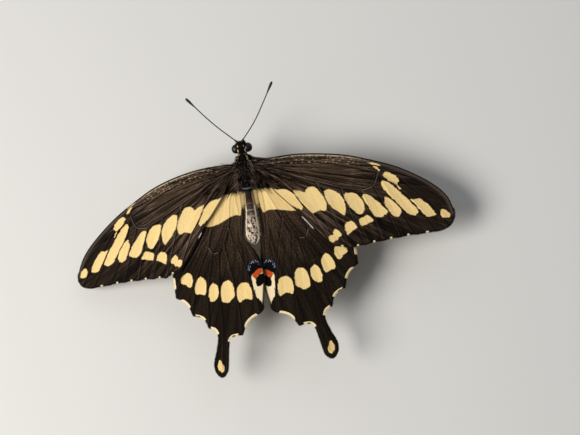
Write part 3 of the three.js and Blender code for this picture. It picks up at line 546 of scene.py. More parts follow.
# Outlines of the marks on the upper side. The forewing's lie where its tip stands when it is spread.
FOREWING_CREAM = [
    [(59.2, 35.1), (59.5, 35.7), (59.2, 36.2), (58.3, 36.4), (57.2, 36.2), (56.8, 35.6), (56.7, 34.2),
     (57.2, 33.7), (57.7, 33.6), (58.5, 34.1)],
    [(54.0, 32.5), (55.3, 34.7), (55.3, 35.1), (54.6, 35.4), (53.0, 35.5), (52.2, 34.9), (50.5, 32.4),
     (49.6, 31.2), (48.1, 29.3), (48.8, 29.6), (49.9, 29.8), (50.4, 29.5), (51.1, 29.5), (52.9, 31.1)],
    [(47.3, 28.9), (50.3, 33.1), (50.3, 33.9), (49.2, 34.5), (47.7, 34.0), (47.0, 33.5), (41.3, 26.1),
     (40.3, 23.9), (40.5, 23.2), (41.0, 22.7), (43.1, 24.1)],
    [(45.2, 22.4), (45.8, 23.5), (45.3, 23.9), (45.2, 24.4), (44.4, 24.4), (42.3, 22.8), (41.3, 21.8),
     (41.0, 21.2), (41.9, 20.4), (42.4, 20.4), (43.7, 21.0)],
    [(38.2, 18.0), (39.2, 18.3), (40.5, 19.4), (40.5, 19.9), (39.9, 19.8), (39.0, 18.9)],
    [(44.6, 24.5), (45.2, 24.8), (46.1, 26.1), (45.7, 26.1)],
    [(36.6, 16.8), (38.4, 17.0), (39.8, 17.6), (41.0, 18.4), (39.4, 18.0), (37.6, 17.3)],
    [(44.8, 31.3), (45.5, 32.8), (44.6, 34.1), (44.0, 34.2), (42.6, 33.6), (40.6, 29.9), (40.9, 28.9),
     (40.9, 27.7), (41.6, 27.9), (43.0, 29.1)],
    [(39.9, 30.2), (41.4, 32.3), (41.4, 32.7), (39.4, 33.8), (38.0, 33.5), (37.5, 33.2), (36.8, 32.2),
     (34.1, 26.5), (34.7, 26.5), (34.9, 26.1), (36.4, 26.5)],
    [(34.5, 28.4), (34.8, 29.7), (34.5, 31.3), (33.8, 32.1), (32.7, 32.0), (31.3, 30.6), (30.1, 29.0),
     (29.0, 26.2), (29.0, 25.8), (29.7, 25.1), (32.1, 25.4), (33.5, 26.7)],
    [(28.8, 27.2), (29.3, 28.5), (29.0, 30.9), (28.6, 31.9), (27.5, 31.2), (24.4, 28.1), (23.6, 26.2),
     (23.1, 23.9), (23.4, 23.6), (24.2, 23.4), (25.0, 23.5), (26.7, 24.1), (28.0, 25.5)],
    [(14.0, 22.1), (15.2, 22.4), (16.5, 22.8), (17.5, 23.4), (17.9, 22.4), (18.6, 22.0), (20.0, 21.8),
     (21.2, 22.7), (22.4, 24.6), (23.4, 26.5), (23.7, 28.0), (23.4, 29.4), (22.8, 29.7), (21.6, 29.3),
     (20.3, 29.6), (19.5, 30.1), (18.8, 29.5), (17.6, 28.2), (16.5, 26.6), (15.6, 25.1), (14.6, 23.6)],
    [(6.4, 19.6), (7.6, 20.6), (9.0, 21.3), (11.0, 21.3), (12.5, 21.9), (13.6, 22.8), (14.3, 23.8),
     (15.3, 25.5), (16.4, 27.3), (16.4, 28.1), (15.9, 28.5), (14.8, 27.8), (13.3, 26.8), (11.6, 25.8),
     (9.2, 23.4), (7.0, 21.0)],
    [(36.8, 34.1), (37.0, 34.7), (35.7, 34.8), (34.9, 35.4), (34.0, 35.4), (33.5, 35.7), (33.0, 35.5),
     (32.7, 34.6), (32.7, 33.8), (33.1, 33.2), (34.1, 33.0), (35.1, 32.5), (36.1, 33.1)],
    [(31.9, 35.6), (32.1, 36.2), (31.2, 36.2), (29.3, 37.7), (29.1, 37.8), (28.7, 37.4), (28.3, 35.4),
     (28.5, 34.6), (29.0, 34.0), (30.2, 33.7), (31.1, 34.2)],
    [(27.2, 37.7), (26.3, 38.1), (26.1, 38.6), (25.6, 39.0), (25.1, 39.0), (24.6, 39.5), (23.7, 39.3),
     (23.2, 38.6), (23.3, 37.5), (23.9, 37.2), (24.7, 37.3), (24.7, 36.2), (25.3, 35.5), (26.6, 36.4),
     (27.2, 37.3)],
]
HINDWING_CREAM = [
    [(0.2, 19.7), (5, 19.9), (9.0, 20.3), (14, 20.2), (18.5, 25.2), (17.4, 27.6), (15.3, 28.2),
     (12.5, 28.0), (10.0, 27.3), (8, 26.9), (6, 26.6), (4.6, 26.9), (3.7, 27.4), (3.0, 25.4), (2.2, 23.0),
     (0.2, 22.0)],
    [(24.2, 41.3), (24.6, 40.2), (25.7, 39.9), (26.9, 40.3), (27.9, 41.2), (28.1, 42.2), (27.5, 43.0),
     (26.6, 43.3), (26.0, 44.3), (25.4, 44.5), (24.8, 44.1), (24.2, 43.0)],
    [(23.9, 45.1), (24.1, 46.4), (23.7, 47.2), (22.7, 47.1), (21.7, 47.8), (21.0, 47.8), (20.3, 46.5),
     (20.0, 44.8), (20.2, 43.6), (20.8, 42.6), (21.4, 42.1), (22.2, 42.3), (23.0, 43.2)],
    [(19.9, 47.9), (20.0, 48.9), (19.8, 49.8), (19.5, 50.4), (19.0, 50.6), (17.3, 49.9), (16.6, 48.3),
     (16.5, 47.0), (16.7, 46.0), (17.3, 45.3), (18.2, 45.1), (19.3, 46.1)],
    [(16.0, 48.8), (16.2, 50.7), (15.8, 51.5), (14.2, 52.2), (12.7, 51.2), (12.0, 50.7), (11.7, 49.8),
     (11.6, 47.9), (12.1, 46.2), (12.7, 45.6), (13.3, 45.4), (14.4, 45.6), (14.9, 45.9), (15.8, 47.4)],
    [(11.0, 50.2), (11.0, 51.4), (10.8, 52.8), (10.5, 53.0), (9.4, 52.4), (8.4, 52.3), (6.5, 53.3),
     (6.2, 51.1), (6.3, 49.8), (6.8, 48.4), (7.6, 47.5), (8.6, 47.2), (10.0, 47.7), (10.8, 49.0)],
    [(1.2, 45.2), (2.4, 44.4), (5.3, 45.7), (5.7, 47.0), (5.6, 48.6), (5.4, 50.4), (5.2, 52.8),
     (4.5, 53.4), (4.1, 54.3), (3.6, 55.2), (2.4, 53.6), (1.2, 49.0)],
    [(20.3, 68.0), (21.1, 68.6), (21.5, 69.9), (21.1, 71.2), (20.5, 71.9), (19.8, 71.9), (19.3, 70.9),
     (19.7, 69.7), (19.9, 68.7)],
]
LUNULES = {
    "forewing": between_tips("R5", 0.42, 0.58, 0.35, 0.36, -0.4),
    "hindwing": [
        crescent([(29.7, 48.0), (28.4, 48.3), (27.5, 48.9), (27.0, 50.0)], 0.5),
        crescent([(25.1, 52.9), (24.2, 53.0), (23.3, 53.7), (22.8, 55.0)], 0.5),
        crescent([(20.9, 57.9), (20.2, 58.2), (19.7, 58.8), (19.4, 60.1)], 0.45),
        crescent([(16.4, 63.1), (15.6, 61.9), (14.6, 61.4), (13.3, 61.9)], 0.5),
        crescent([(9.9, 60.6), (9.0, 59.0), (7.9, 58.2), (6.4, 58.2)], 0.5),
        crescent([(30.6, 40.6), (30.5, 41.8), (30.8, 43.2)], 0.5),
    ],
}
EYESPOT_RUST = [
    (2.2, 44.5), (3.0, 44.4), (4.0, 44.9), (4.8, 45.5), (5.3, 46.0), (4.9, 46.7), (4.4, 47.5), (4.0, 47.3),
    (3.7, 46.5), (2.7, 46.0), (2.1, 46.0),
]
EYESPOT_PUPIL = [
    (1.2, 46.4), (2.8, 46.0), (3.8, 46.6), (4.4, 47.5), (4.6, 48.6), (4.3, 49.6), (3.6, 49.8), (2.6, 49.2),
    (1.2, 48.3),
]
EYESPOT_BLACK = [
    (2.0, 43.8), (2.7, 42.4), (4.0, 41.6), (5.4, 42.3), (6.3, 43.4), (6.2, 45.0), (5.5, 45.7), (4.2, 44.8),
    (3.0, 44.3), (2.0, 44.4),
]
EYESPOT_BLUE = [(2.4, 43.2), (2.9, 42.5), (3.7, 42.0), (4.5, 42.1), (5.2, 42.6), (5.7, 43.2), (5.9, 44.1)]

# The underside: cream fields that the dark veins cross, blue crescents and a rust patch.
FOREWING_UNDER = FOREWING_CREAM + [
    [(30.5, 18.2), (37.6, 20.6), (36.6, 23.4), (31.0, 22.2)],
    [(12, 14.4), (24, 16.0), (27, 20.5), (20, 18.6), (12, 15.6)],
    *between_tips("R4", 0.12, 0.88, 0.35, 3.6, 1.6),
]
HINDWING_UNDER = HINDWING_CREAM + [
    [(5, 20), (11, 19.4), (20, 27.5), (25.5, 36.5), (22, 39.6), (17.8, 33), (12, 30.5), (10.8, 31.5),
     (5.5, 42), (3.0, 42), (3.4, 28)],
    [(28.6, 49.0), (26.2, 51.8), (24.4, 50.6), (26.6, 47.4)],
    [(24.2, 54.4), (21.4, 56.6), (20.4, 54.2), (22.6, 52.4)],
    [(10.6, 60.6), (6.0, 57.2), (6.6, 55.4), (10.6, 57.6)],
]
HINDWING_UNDER_RUST = [[(12.6, 38.4), (15.6, 38.2), (15.4, 41.6), (12.8, 41.4)], EYESPOT_RUST]
HINDWING_UNDER_BLUE = [
    [(23.4, 37.9), (26.6, 38.9), (25.2, 40.0), (23.2, 39.2)],
    [(19.4, 39.6), (22.0, 40.4), (21.2, 41.9), (19.4, 41.2)],
    [(15.8, 42.4), (18.2, 43.2), (17.6, 44.6), (15.8, 44.0)],
    [(11.8, 42.8), (14.8, 43.0), (14.2, 44.5), (12.0, 44.3)],
    [(7.4, 44.2), (10.2, 44.4), (9.6, 45.9), (7.4, 45.7)],
    [(1.6, 41.8), (4.3, 41.6), (6.2, 43.6), (5.6, 44.6), (4.0, 43.1), (1.4, 43.1)],
]
MARKS = {
    "forewing": {"cream": FOREWING_CREAM, "under": FOREWING_UNDER, "under_rust": [], "under_blue": []},
    "hindwing": {
        "cream": HINDWING_CREAM, "under": HINDWING_UNDER, "under_rust": HINDWING_UNDER_RUST,
        "under_blue": HINDWING_UNDER_BLUE, "rust": [EYESPOT_RUST], "pupil": [EYESPOT_PUPIL],
        "black": [EYESPOT_BLACK],
    },
}


# ---------------------------------------------------------------- the wings' pose

BEND_STEPS = np.arange(361) * 0.25


def bend_table(droop):
    slope = ROOT_RISE - droop * smoothstep((BEND_STEPS[1:] - DROOP_START) / (DROOP_END - DROOP_START))
    out = np.concatenate([[0], np.cumsum(np.cos(slope)) * 0.25])
    up = np.concatenate([[0], np.cumsum(np.sin(slope)) * 0.25])
    return out, up


BEND = {side: bend_table(DROOP[side]) for side in SIDES}


def midline(y):
    x, z = read_rows(SPINE, y)
    return x, WING_HEIGHT + z


def tip_moved(x, y, kind, side):
    """A forewing's tip stands a little apart from its flat plan."""
    if kind == "hindwing":
        return x, y
    share = smoothstep((x - 20) / 35) * np.clip((41 - y) / 10, 0, 1)
    return x + TIP_SHIFT[side][0] * share, y + TIP_SHIFT[side][1] * share


def swung(x, y, kind, side):
    """A point of the flat plan after the wing has swung about its root."""
    x, y = tip_moved(x, y, kind, side)
    from_root = np.hypot(x - ROOT_X, y - sum(ROOT_EDGE[kind]) / 2)
    angle = SWING[(kind, side)] * smoothstep((from_root - SWING_START) / SWING_REACH)
    dx, dy, cos, sin = x - HINGE[0], y - HINGE[1], np.cos(angle), np.sin(angle)
    return HINGE[0] + dx * cos - dy * sin, HINGE[1] + dx * sin + dy * cos


def posed(x, y, kind, side):
    """The place in space of a point of a wing's flat plan."""
    sign = SIDES[side]
    x, y = np.asarray(x, float), np.asarray(y, float)
    px, py = swung(x, y, kind, side)
    if kind == "hindwing":
        edge = swung(read_rows(INNER_MARGIN, y)[0], y, kind, side)[0]
        width = read_rows(ABDOMEN, py)[0]
        past = np.maximum(py - BELLY_END, 0)
        limit = width + 1.3 * GAP - FOLD_SLOPE * past + sign * midline(py)[0]
        limit = np.where((py < BELLY_START) | (py > BELLY_END + FOLD_TAIL), -1e9, limit)
        share = (px - edge) / np.maximum(limit + FOLD_WIDTH - edge, 1e-6)
        px = np.where((limit > edge) & (px < limit + FOLD_WIDTH), limit + share * FOLD_WIDTH, px)
    dx, dy = px - HINGE[0], py - HINGE[1]
    cos, sin = math.cos(BEND_AXIS), math.sin(BEND_AXIS)
    s, t = dx * cos - dy * sin, dx * sin + dy * cos
    out_table, up_table = BEND[side]
    out = np.where(s > 0, np.interp(s, BEND_STEPS, out_table), s)
    up = np.where(s > 0, np.interp(s, BEND_STEPS, up_table), 0)
    height = WING_HEIGHT + up + WING_LAYER
    if kind == "hindwing":
        lift = sign * OVERLAP_LIFT * (1 - smoothstep(np.abs(px) / 9)) * smoothstep((py - 27) / 9)
        height = WING_HEIGHT + up - WING_LAYER + lift
    return np.stack([sign * (HINGE[0] + out * cos + t * sin), HINGE[1] - out * sin + t * cos, height], -1)


def posed_way(x, y, dx, dy, kind, side):
    """The place of a point of a wing and the way that a step on its plan takes from there."""
    here = posed(x, y, kind, side)
    return here, unit(posed(x + dx, y + dy, kind, side) - here)


def wing_normals(x, y, kind, side):
    e = 0.02
    u = posed(x + e, y, kind, side) - posed(x - e, y, kind, side)
    v = posed(x, y + e, kind, side) - posed(x, y - e, kind, side)
    n = unit(np.cross(u, v))
    return n * np.where(n[:, 2:] < 0, -1, 1)


# ---------------------------------------------------------------- the wings' meshes


def wing_plan(kind, step):
    """Flat points and triangles of a wing, closer along its veins, and its outline."""
    outline = OUTLINES[kind](step, 2.7)
    lines = [spline(points, step) for points in VEINS[kind].values()]
    low, high = outline.min(0), outline.max(0)
    field = np.array([
        (x, y) for k, y in enumerate(np.arange(low[1], high[1], step * 0.866))
        for x in np.arange(low[0] + (k % 2) * step / 2, high[0], step)
    ])
    field = field[signed_distance(field, outline) < -0.6 * step]
    crest = []
    for line in lines:
        aside = beside(line) * 0.19
        crest += [line, line - aside, line + aside]
        field = field[distance_to_line(field, line)[0] >= 0.3]
    crest = np.vstack(crest)
    kept = {}
    for p in crest[signed_distance(crest, outline) < -0.35 * step]:
        kept.setdefault((int(p[0] / 0.11), int(p[1] / 0.11)), p)
    points = np.vstack([outline, list(kept.values()), field])
    ring = len(outline)
    edges = [(i, (i + 1) % ring) for i in range(ring)]
    result = geometry.delaunay_2d_cdt([Vector(p) for p in points], edges, [], 1, 1e-5)
    triangles = np.array([face for face in result[2] if len(face) == 3], np.int32)
    used, again = np.unique(triangles, return_inverse=True)
    flat = np.array([(v.x, v.y) for v in result[0]])[used]
    triangles = again.reshape(triangles.shape)
    a, b, c = (flat[triangles[:, k]] for k in range(3))
    turn = (b[:, 0] - a[:, 0]) * (c[:, 1] - a[:, 1]) - (b[:, 1] - a[:, 1]) * (c[:, 0] - a[:, 0])
    return flat, np.where(turn[:, None] < 0, triangles[:, ::-1], triangles), outline


def border_edges(triangles):
    """Edges that only one triangle has, in that triangle's order."""
    edges = np.vstack([triangles[:, [0, 1]], triangles[:, [1, 2]], triangles[:, [2, 0]]])
    _, first, count = np.unique(np.sort(edges, axis=1), axis=0, return_index=True, return_counts=True)
    return edges[first[count == 1]]


def wing_facts(kind, flat, outline, step):
    """What the finish reads at each point: distances to veins and margin, and the lie of the scales."""
    vein = np.full(len(flat), 9.0)
    raised = vein.copy()
    lie = np.zeros((len(flat), 3))
    for k, (name, points) in enumerate(VEINS[kind].items()):
        gap, along, side = distance_to_line(flat, spline(points, step))
        here = np.stack([gap * side, along * 0.12, np.full(len(flat), k * VEIN_LAYER)], 1)
        lie = np.where((gap < vein)[:, None], here, lie)
        vein = np.minimum(vein, gap)
        if name not in FINE_VEINS:
            raised = np.minimum(raised, gap)
    x, y = (flat - FAN_CENTRE[kind]).T
    front, along_front, _ = distance_to_line(flat, spline(COSTA[kind], 0.5))
    level = np.zeros(len(flat))
    return {
        "vein": vein,
        "raised": raised,
        "margin": distance_to_line(flat, closed(outline))[0],
        "lie": lie,
        "fan": np.stack([np.arctan2(y, x) * 25, np.hypot(x, y), level], 1),
        "costa": np.stack([front, along_front, level], 1),
        "plan": np.column_stack([flat, level]),
    }


def mark_facts(kind, side, flat):
    """Distances to the marks, each where it stands on its own side."""
    place = np.stack(tip_moved(*flat.T, kind, side), 1)
    facts = {name: nearest_of(place, marks) for name, marks in MARKS[kind].items()}
    if kind == "hindwing":
        facts["blue"] = distance_to_line(place, spline(EYESPOT_BLUE, 0.3))[0]
    facts["lunule"] = nearest_of(flat, LUNULES[kind])
    facts["under"] = np.minimum(facts["under"], facts["lunule"])
    return facts


PLANS = {}


def plan_of(kind, step):
    """Both sides share a wing's plan, so it is worked out once."""
    if kind not in PLANS:
        flat, triangles, outline = wing_plan(kind, step)
        PLANS[kind] = flat, triangles, wing_facts(kind, flat, outline, step)
    return PLANS[kind]


def wing_sheet(kind, side, step, materials):
    """A thin closed membrane with raised veins, folded a little between them."""
    flat, triangles, facts = plan_of(kind, step)
    middle, normal = posed(*flat.T, kind, side), wing_normals(*flat.T, kind, side)
    raised, margin = facts["raised"], facts["margin"]
    half = 0.07 + 0.04 * smoothstep(margin / 2)
    ridge = 0.13 * bell(raised, 0.18) * smoothstep(margin / 0.5)
    fine = 0.06 * bell(facts["vein"], 0.14) * smoothstep(margin / 0.5)
    sag = (-0.2 * smoothstep(raised / 2.6) * smoothstep(margin / 3))[:, None]
    thick = (half + np.maximum(ridge, fine))[:, None]
    points = np.vstack([middle + normal * (thick + sag), middle - normal * (thick - sag)])
    count = len(flat)
    faces = triangles if side == "left" else triangles[:, ::-1]
    a, b = border_edges(faces).T
    walls = np.vstack([np.stack([b, a, a + count], 1), np.stack([b, a + count, b + count], 1)])
    slots = np.repeat([0, 1, 0], [len(faces), len(faces), len(walls)])
    all_faces = np.vstack([faces, faces[:, ::-1] + count, walls])
    piece = mesh_object(f"{kind}_{side}_scaled", points, all_faces, materials, slots)
    for key, values in {**facts, **mark_facts(kind, side, flat)}.items():
        give(piece, key, np.concatenate([values, values]))
    return piece


# ---------------------------------------------------------------- the wings' finishes


def wing_top_finish(front):
    """Brown-black scales in fine rays, cream marks with feathered edges, and beige rows along the front."""
    f = Finish("forewing_scales_upper" if front else "hindwing_scales_upper", 0.72, Specular_IOR_Level=0.04)
    plan, lie, fan, costa = (f.read(name, "Vector") for name in ("plan", "lie", "fan", "costa"))
    margin, vein, lunule = (f.read(name) for name in ("margin", "vein", "lunule"))
    grain = f.noise(plan, 2.2, 5, 0.7)
    scales = f.noise(plan, 6, 3, 0.8)
    specks = f.noise(plan, 3.4, 2, 0.75)
    streak = f.noise(lie, (2.6, 0.25, 1))
    rays = f.noise(fan, (1.1, 0.03, 1))
    teeth = f.noise(fan, (3.6, 0.3, 1), 2, 0.7)
    rough = f.times(f.sum("SUBTRACT", f.sum("MULTIPLY_ADD", grain, 0.6, teeth), 0.8), 0.9)
    feather = f.sum("MULTIPLY_ADD", f.sum("SUBTRACT", scales, 0.5), 0.5, rough)

    def mark(name, soft=0.07, share=1.0):
        return f.between(f.plus(f.read(name), f.times(feather, share)), soft, -soft)

    def grained(low, high, least, most):
        return f.between(grain, low, high, least, most)

    mixed = f.plus(f.times(rays, 0.55), f.times(streak, 0.45))
    if not front:
        mixed = f.plus(f.times(mixed, 0.6), f.times(grain, 0.4))
    across, _, layer = f.split(lie)
    mottle_and_sheen = f.sum("MULTIPLY_ADD", f.noise(plan, 0.12), 24, f.split(fan)[1])
    cell_end = f.between(f.away(layer, CELL_END_LAYER), 1.0, 0.5)
    cell_end = f.times(cell_end, f.between(f.away(across, 0), 0.16, 0.05))
    brown = f.over(
        f.mix(f.between(mixed, 0.42, 0.60), "#0b0705", "#4b3b2d" if front else "#4b3a2a"),
        (f.times(f.between(f.away(rays, 0.53), 0.024, 0.008),
                 grained(0.35, 0.6, 0.25, 0.75) if front else grained(0.4, 0.6, 0.0, 0.45)), "#8a7361"),
        (f.between(specks, 0.56, 0.68, 0.0, 0.4 if front else 0.6), "#6d5640"),
        (f.between(specks, 0.44, 0.34, 0.0, 0.75), "#070402"),
        # Painted shade and highlight: a dark line on one side of each vein stands for its ridge's shadowed
        # flank, and a light line on the other for its lit flank, partly the vein's own paler scales.
        (f.times(f.between(f.away(across, 0.3), 0.36, 0.1), 0.7), "#060403"),
        (f.times(f.between(f.away(across, -0.1), 0.17, 0.05),
                 grained(0.35, 0.62, 0.15, 0.6) if front else grained(0.38, 0.65, 0.05, 0.38)), "#7d6b60"),
        (f.times(cell_end, grained(0.3, 0.6, 0.3, 0.9)), "#94837a"),
        (f.between(mottle_and_sheen, 26 if front else 22, 66 if front else 50, 0.0, 0.8), "#0c0805"),
    )
    if front:
        deep, along, _ = f.split(costa)
        near = f.between(along, 37, 27)
        dashes = f.between(f.noise(costa, (2.2, 1.1, 1), 2), 0.36, 0.5)
        rows = f.between(f.away(f.sum("FRACT", f.sum("MULTIPLY_ADD", deep, 1.3, 0.05)), 0.5), 0.3, 0.12)
        zone = f.times(f.between(deep, 3.5, 2.6), f.between(deep, 0.9, 1.1))
        beads = f.times(f.between(f.cells(costa, (1.3, 1.05, 1)), 0.46, 0.24), rows, f.times(zone, near))
        brown = f.over(
            brown,
            (f.times(f.between(deep, 1.6, 0.5), 0.35), "#75665a"),
            (f.times(f.between(f.away(deep, 0.62), 0.24, 0.08), dashes, near), "#bcab8d"),
            (f.times(beads, 0.85), "#a8936f"),
            (f.between(deep, 0.38, 0.2), "#070504"),
        )

    cream = f.over(
        f.mix(f.between(grain, 0.3, 0.75), "#eccb8a", "#f5dd9f"),
        (f.between(f.noise(lie, (4.5, 0.7, 1)), 0.45, 0.7, 0, 0.5), "#d3ab62"),
        (f.between(scales, 0.62, 0.8, 0, 0.25), "#c79f5c"),
    )
    if not front:
        x, y, _ = f.split(plan)
        cream = f.over(
            cream,
            (f.times(f.between(vein, 0.3, 0.05, 0, 0.55), grained(0.3, 0.6, 0.5, 1)), "#8f7047"),
            (f.times(f.between(margin, 3.2, 0.6, 0, 0.45), f.between(streak, 0.35, 0.6)), "#b3945f"),
            (f.times(f.between(x, 6.6, 5.8), f.between(y, 43, 46), 0.65), "#f3e4c2"),
        )
    colour = f.mix(mark("cream"), brown, cream)
    if not front:
        dots = f.between(f.cells(plan, 2.7), 0.5, 0.26)
        colour = f.over(
            colour,
            (mark("black", 0.2, 1.2), "#050507"),
            (mark("rust", 0.06, 0.6), f.mix(grain, "#9c3412", "#cf5824")),
            (mark("pupil", 0.06, 0.6), "#060504"),
            (f.times(dots, f.between(f.read("blue"), 0.52, 0.22)), f.mix(grain, "#586b94", "#c0cbe0")),
        )
    if front:
        pale = f.times(f.between(lunule, 0.06, -0.06), f.between(margin, 0.4, 0.25))
    else:
        band = f.between(f.sum("MULTIPLY_ADD", feather, 0.25, margin), 0.5, 0.4)
        pale = f.times(f.between(lunule, 0.45, 0.25), band)
    colour = f.over(colour, (f.between(margin, 0.5, 0.15, 0, 0.85), "#0b0806"), (pale, "#efdcae"))

    relief = f.plus(f.times(scales, 0.8), f.times(mixed, 2.2))
    relief = f.sum("MULTIPLY_ADD", f.cells(plan, (8, 22, 1)), 0.4, relief)
    return f.done(colour, f.bump(relief, 0.5, 0.00016), grained(0.3, 0.8, 0.62, 0.82))


def wing_under_finish():
    """The paler underside: cream fields between dark veins, blue crescents and a rust patch."""
    f = Finish("wing_scales_under", 0.7, Specular_IOR_Level=0.15)
    plan, lie, fan = (f.read(name, "Vector") for name in ("plan", "lie", "fan"))
    grain = f.noise(plan, 2, 5, 0.7)
    scales = f.noise(plan, 7, 3, 0.8)
    streak = f.noise(lie, (2.4, 1.0, 1), 4, 0.62)
    rays = f.noise(fan, (1.0, 0.07, 1), 5, 0.68)
    feather = f.times(f.sum("SUBTRACT", scales, 0.5), 0.9)

    def mark(name, soft=0.12, shift=0.0):
        return f.between(f.plus(f.read(name), feather), soft + shift, -soft + shift)

    cream = f.over(
        f.mix(f.between(grain, 0.3, 0.75), "#e4c67f", "#f0dca6"),
        (f.between(streak, 0.5, 0.8, 0, 0.5), "#c9a867"),
    )
    vein_line = f.between(f.plus(f.read("vein"), f.times(feather, 0.2)), 0.36, 0.14)
    dots = f.between(f.cells(plan, 3.2), 0.62, 0.35)
    colour = f.over(
        f.mix(f.between(rays, 0.4, 0.62), "#2a1f17", "#5d4a33"),
        (mark("under", 0.2, 0.1), cream),
        (f.times(vein_line, 0.92), "#1c130d"),
        (mark("under_blue", 0.5, 0.9), "#0a0a0c"),
        (f.times(mark("under_blue", 0.3, 0.1), dots), "#86a8d2"),
        (mark("under_rust"), "#c0552a"),
        (f.between(f.read("margin"), 0.5, 0.2, 0, 0.8), "#241911"),
    )
    relief = f.sum("MULTIPLY_ADD", f.cells(plan, (8, 22, 1)), 0.5, f.plus(scales, streak))
    return f.done(colour, f.bump(relief, 0.35, 0.00012), f.between(grain, 0.3, 0.8, 0.6, 0.8))


# ---------------------------------------------------------------- the body

COAT_DEPTH = [
    (4.9, 0.1), (8.6, 0.15), (9.6, 0.3), (12, 0.45), (18, 0.4), (19.8, 0.2), (20.6, 0.1), (BELLY_END, 0.06),
]


def segment_share(y):
    """How far along its own ring of the abdomen a place is."""
    return ((y - BELLY_START) / (BELLY_END - BELLY_START) * SEGMENTS) % 1


def sculpt(y, angle):
    """How far the skin stands proud of its plain rings: grooves, plates and swellings."""
    up, across = np.sin(angle), np.cos(angle)
    aside, above = np.abs(across), up > 0
    share = segment_share(y)
    joint = 1 - smoothstep(np.minimum(share, 1 - share) / 0.14)
    belly = y > BELLY_START
    back = (y > 11) & (y < 20)
    return (
        np.where(belly, -0.13 * joint + 0.05 * np.sin(np.pi * share), 0)
        + np.where(belly, 0.08 * bell(aside - 0.86, 0.1) * smoothstep((y - 21) / 2), 0)
        - np.where(back, 0.14 * (bell(across, 0.07) * above) * smoothstep(y - 11) * smoothstep(17.4 - y), 0)
        - 0.22 * bell(y - 17.7, 0.28) * smoothstep((up - 0.35) / 0.3)
        + 0.3 * bell(y - 19.5, 0.35) * smoothstep((up - 0.45) / 0.3)
        + 0.1 * (bell(y - 7.4, 0.9) * bell(across, 0.45)) * above
        - 0.07 * bell(across, 0.1) * (y < 8.2) * above
        - 0.3 * (bell(aside - 0.7, 0.17) * bell(y - 6.9, 0.75)) * above
        - 0.12 * (bell(y - 9.1, 0.22) + bell(y - 10.6, 0.2))
    )


def skin_point(y, angle, lift=0.0):
    y, angle = np.asarray(y, float), np.asarray(angle, float)
    width, height = read_rows(BODY, y)
    depth = read_rows(COAT_DEPTH, y)[0]
    x, z = midline(y)
    out = sculpt(y, angle) + lift - depth
    return np.stack([
        x + (width + out) * np.cos(angle), y + 0 * angle, z + (height + out) * np.sin(angle)
    ], -1)


# Pale marks on head and chest: place, distance from the midline left and right, length, width and lean.
BODY_MARKS = [
    (6.75, 0.9, 1.2, 0.36, 0.17, 0.1, "#f1d88e"),
    (7.9, 1.3, 1.45, 0.42, 0.28, 0.3, "#ffe7a0"),
    (8.75, 0.95, 0.95, 0.32, 0.3, 0.3, "#ffe7a0"),
    (9.6, 1.75, 1.45, 0.45, 0.2, 0.5, "#f0dba0"),
    (11.6, 2.85, 2.35, 1.75, 0.27, 0.55, "#f6e7b4"),
]


def body_colour(y, angle):
    """Colour of skin and coat at a place on the body."""
    y, angle = np.broadcast_arrays(np.asarray(y, float), np.asarray(angle, float))
    angle = np.mod(angle + np.pi / 2, 2 * np.pi) - np.pi / 2
    up, out = np.sin(angle), np.abs(np.cos(angle))
    belly = smoothstep((y - 20.1) / 0.4)
    segment = segment_share(y)
    plate = belly * 0.75 * (up > 0)
    rim_glint = y - 19.65 + 0.9 * (np.pi / 2 - angle) ** 2
    layers = [
        (smoothstep((y - 10.2) / 1.2) * smoothstep((20.2 - y) / 0.5) * smoothstep((out - 0.55) / 0.35),
         "#2e2420"),
        # Painted highlight: a bluish-grey crescent on top of the swelling at the chest's rear.
        (bell(rim_glint, 0.12) * (up > 0.83), "#7f8996"),
        (belly, "#2a211e"),
        (belly * smoothstep((y - 22) / 3), "#4c3d39"),
        (plate * smoothstep((0.22 - segment) / 0.12), "#1d1613"),
        (plate * smoothstep((segment - 0.82) / 0.12) * smoothstep((y - 23) / 3), "#b7a292"),
        (belly * smoothstep((out - 0.66) / 0.15) * smoothstep((25 - y) / 1.5), "#cfb37c"),
        (belly * smoothstep((out - 0.62) / 0.1) * smoothstep((y - 24) / 1.5), "#221a17"),
        (belly * bell(out - 0.82, 0.095) * smoothstep((y - 24) / 1.2) * 1.6 * (up > -0.2), "#fff0cd"),
        (smoothstep((-up - 0.25) / 0.2) * smoothstep((y - 9) / 2), "#cdb274"),
        (smoothstep((0.35 - out) / 0.1) * (up < 0) * belly, "#2b211b"),
    ]
    across = (np.pi / 2 - angle) * read_rows(BODY, y)[0]
    for at, left, right, length, width, lean, code in BODY_MARKS:
        for sign, aside in ((1, left), (-1, right)):
            dx = sign * across - aside - lean * (y - at)
            mark = smoothstep((1 - ((y - at) / length) ** 2 - (dx / width) ** 2) / 0.35)
            layers.append((mark * (up > -0.3), code))
    colour = tone("#0c0907") + np.zeros((*y.shape, 3))
    for share, code in layers:
        colour = colour + (tone(code) - colour) * np.clip(share, 0, 1)[..., None]
    return colour


def body_skin(material):
    """One skin for head, neck, chest and abdomen."""
    rows = np.concatenate([
        np.linspace(4.92, 8.6, 46), np.linspace(8.65, 20.2, 104), np.linspace(20.27, 36.18, 150),
    ])
    y, angle = np.meshgrid(rows, ring_angles(88), indexing="ij")
    points, faces = loft(skin_point(y, angle))
    # The faces of the skin and of the hairs wind inwards.
    piece = mesh_object("body_skin", points, faces[:, ::-1], [material])
    colour = body_colour(y, angle).reshape(-1, 3)
    paint(piece, np.vstack([colour, colour[:1], colour[-1:]]))
    along = np.concatenate([y.ravel(), rows[:1], rows[-1:]])
    around = np.concatenate([angle.ravel(), [0, 0]])
    give(piece, "lie", np.column_stack([np.cos(around) * 2, along * 0.3, np.sin(around) * 2]))
    give(piece, "along", along)
    return piece


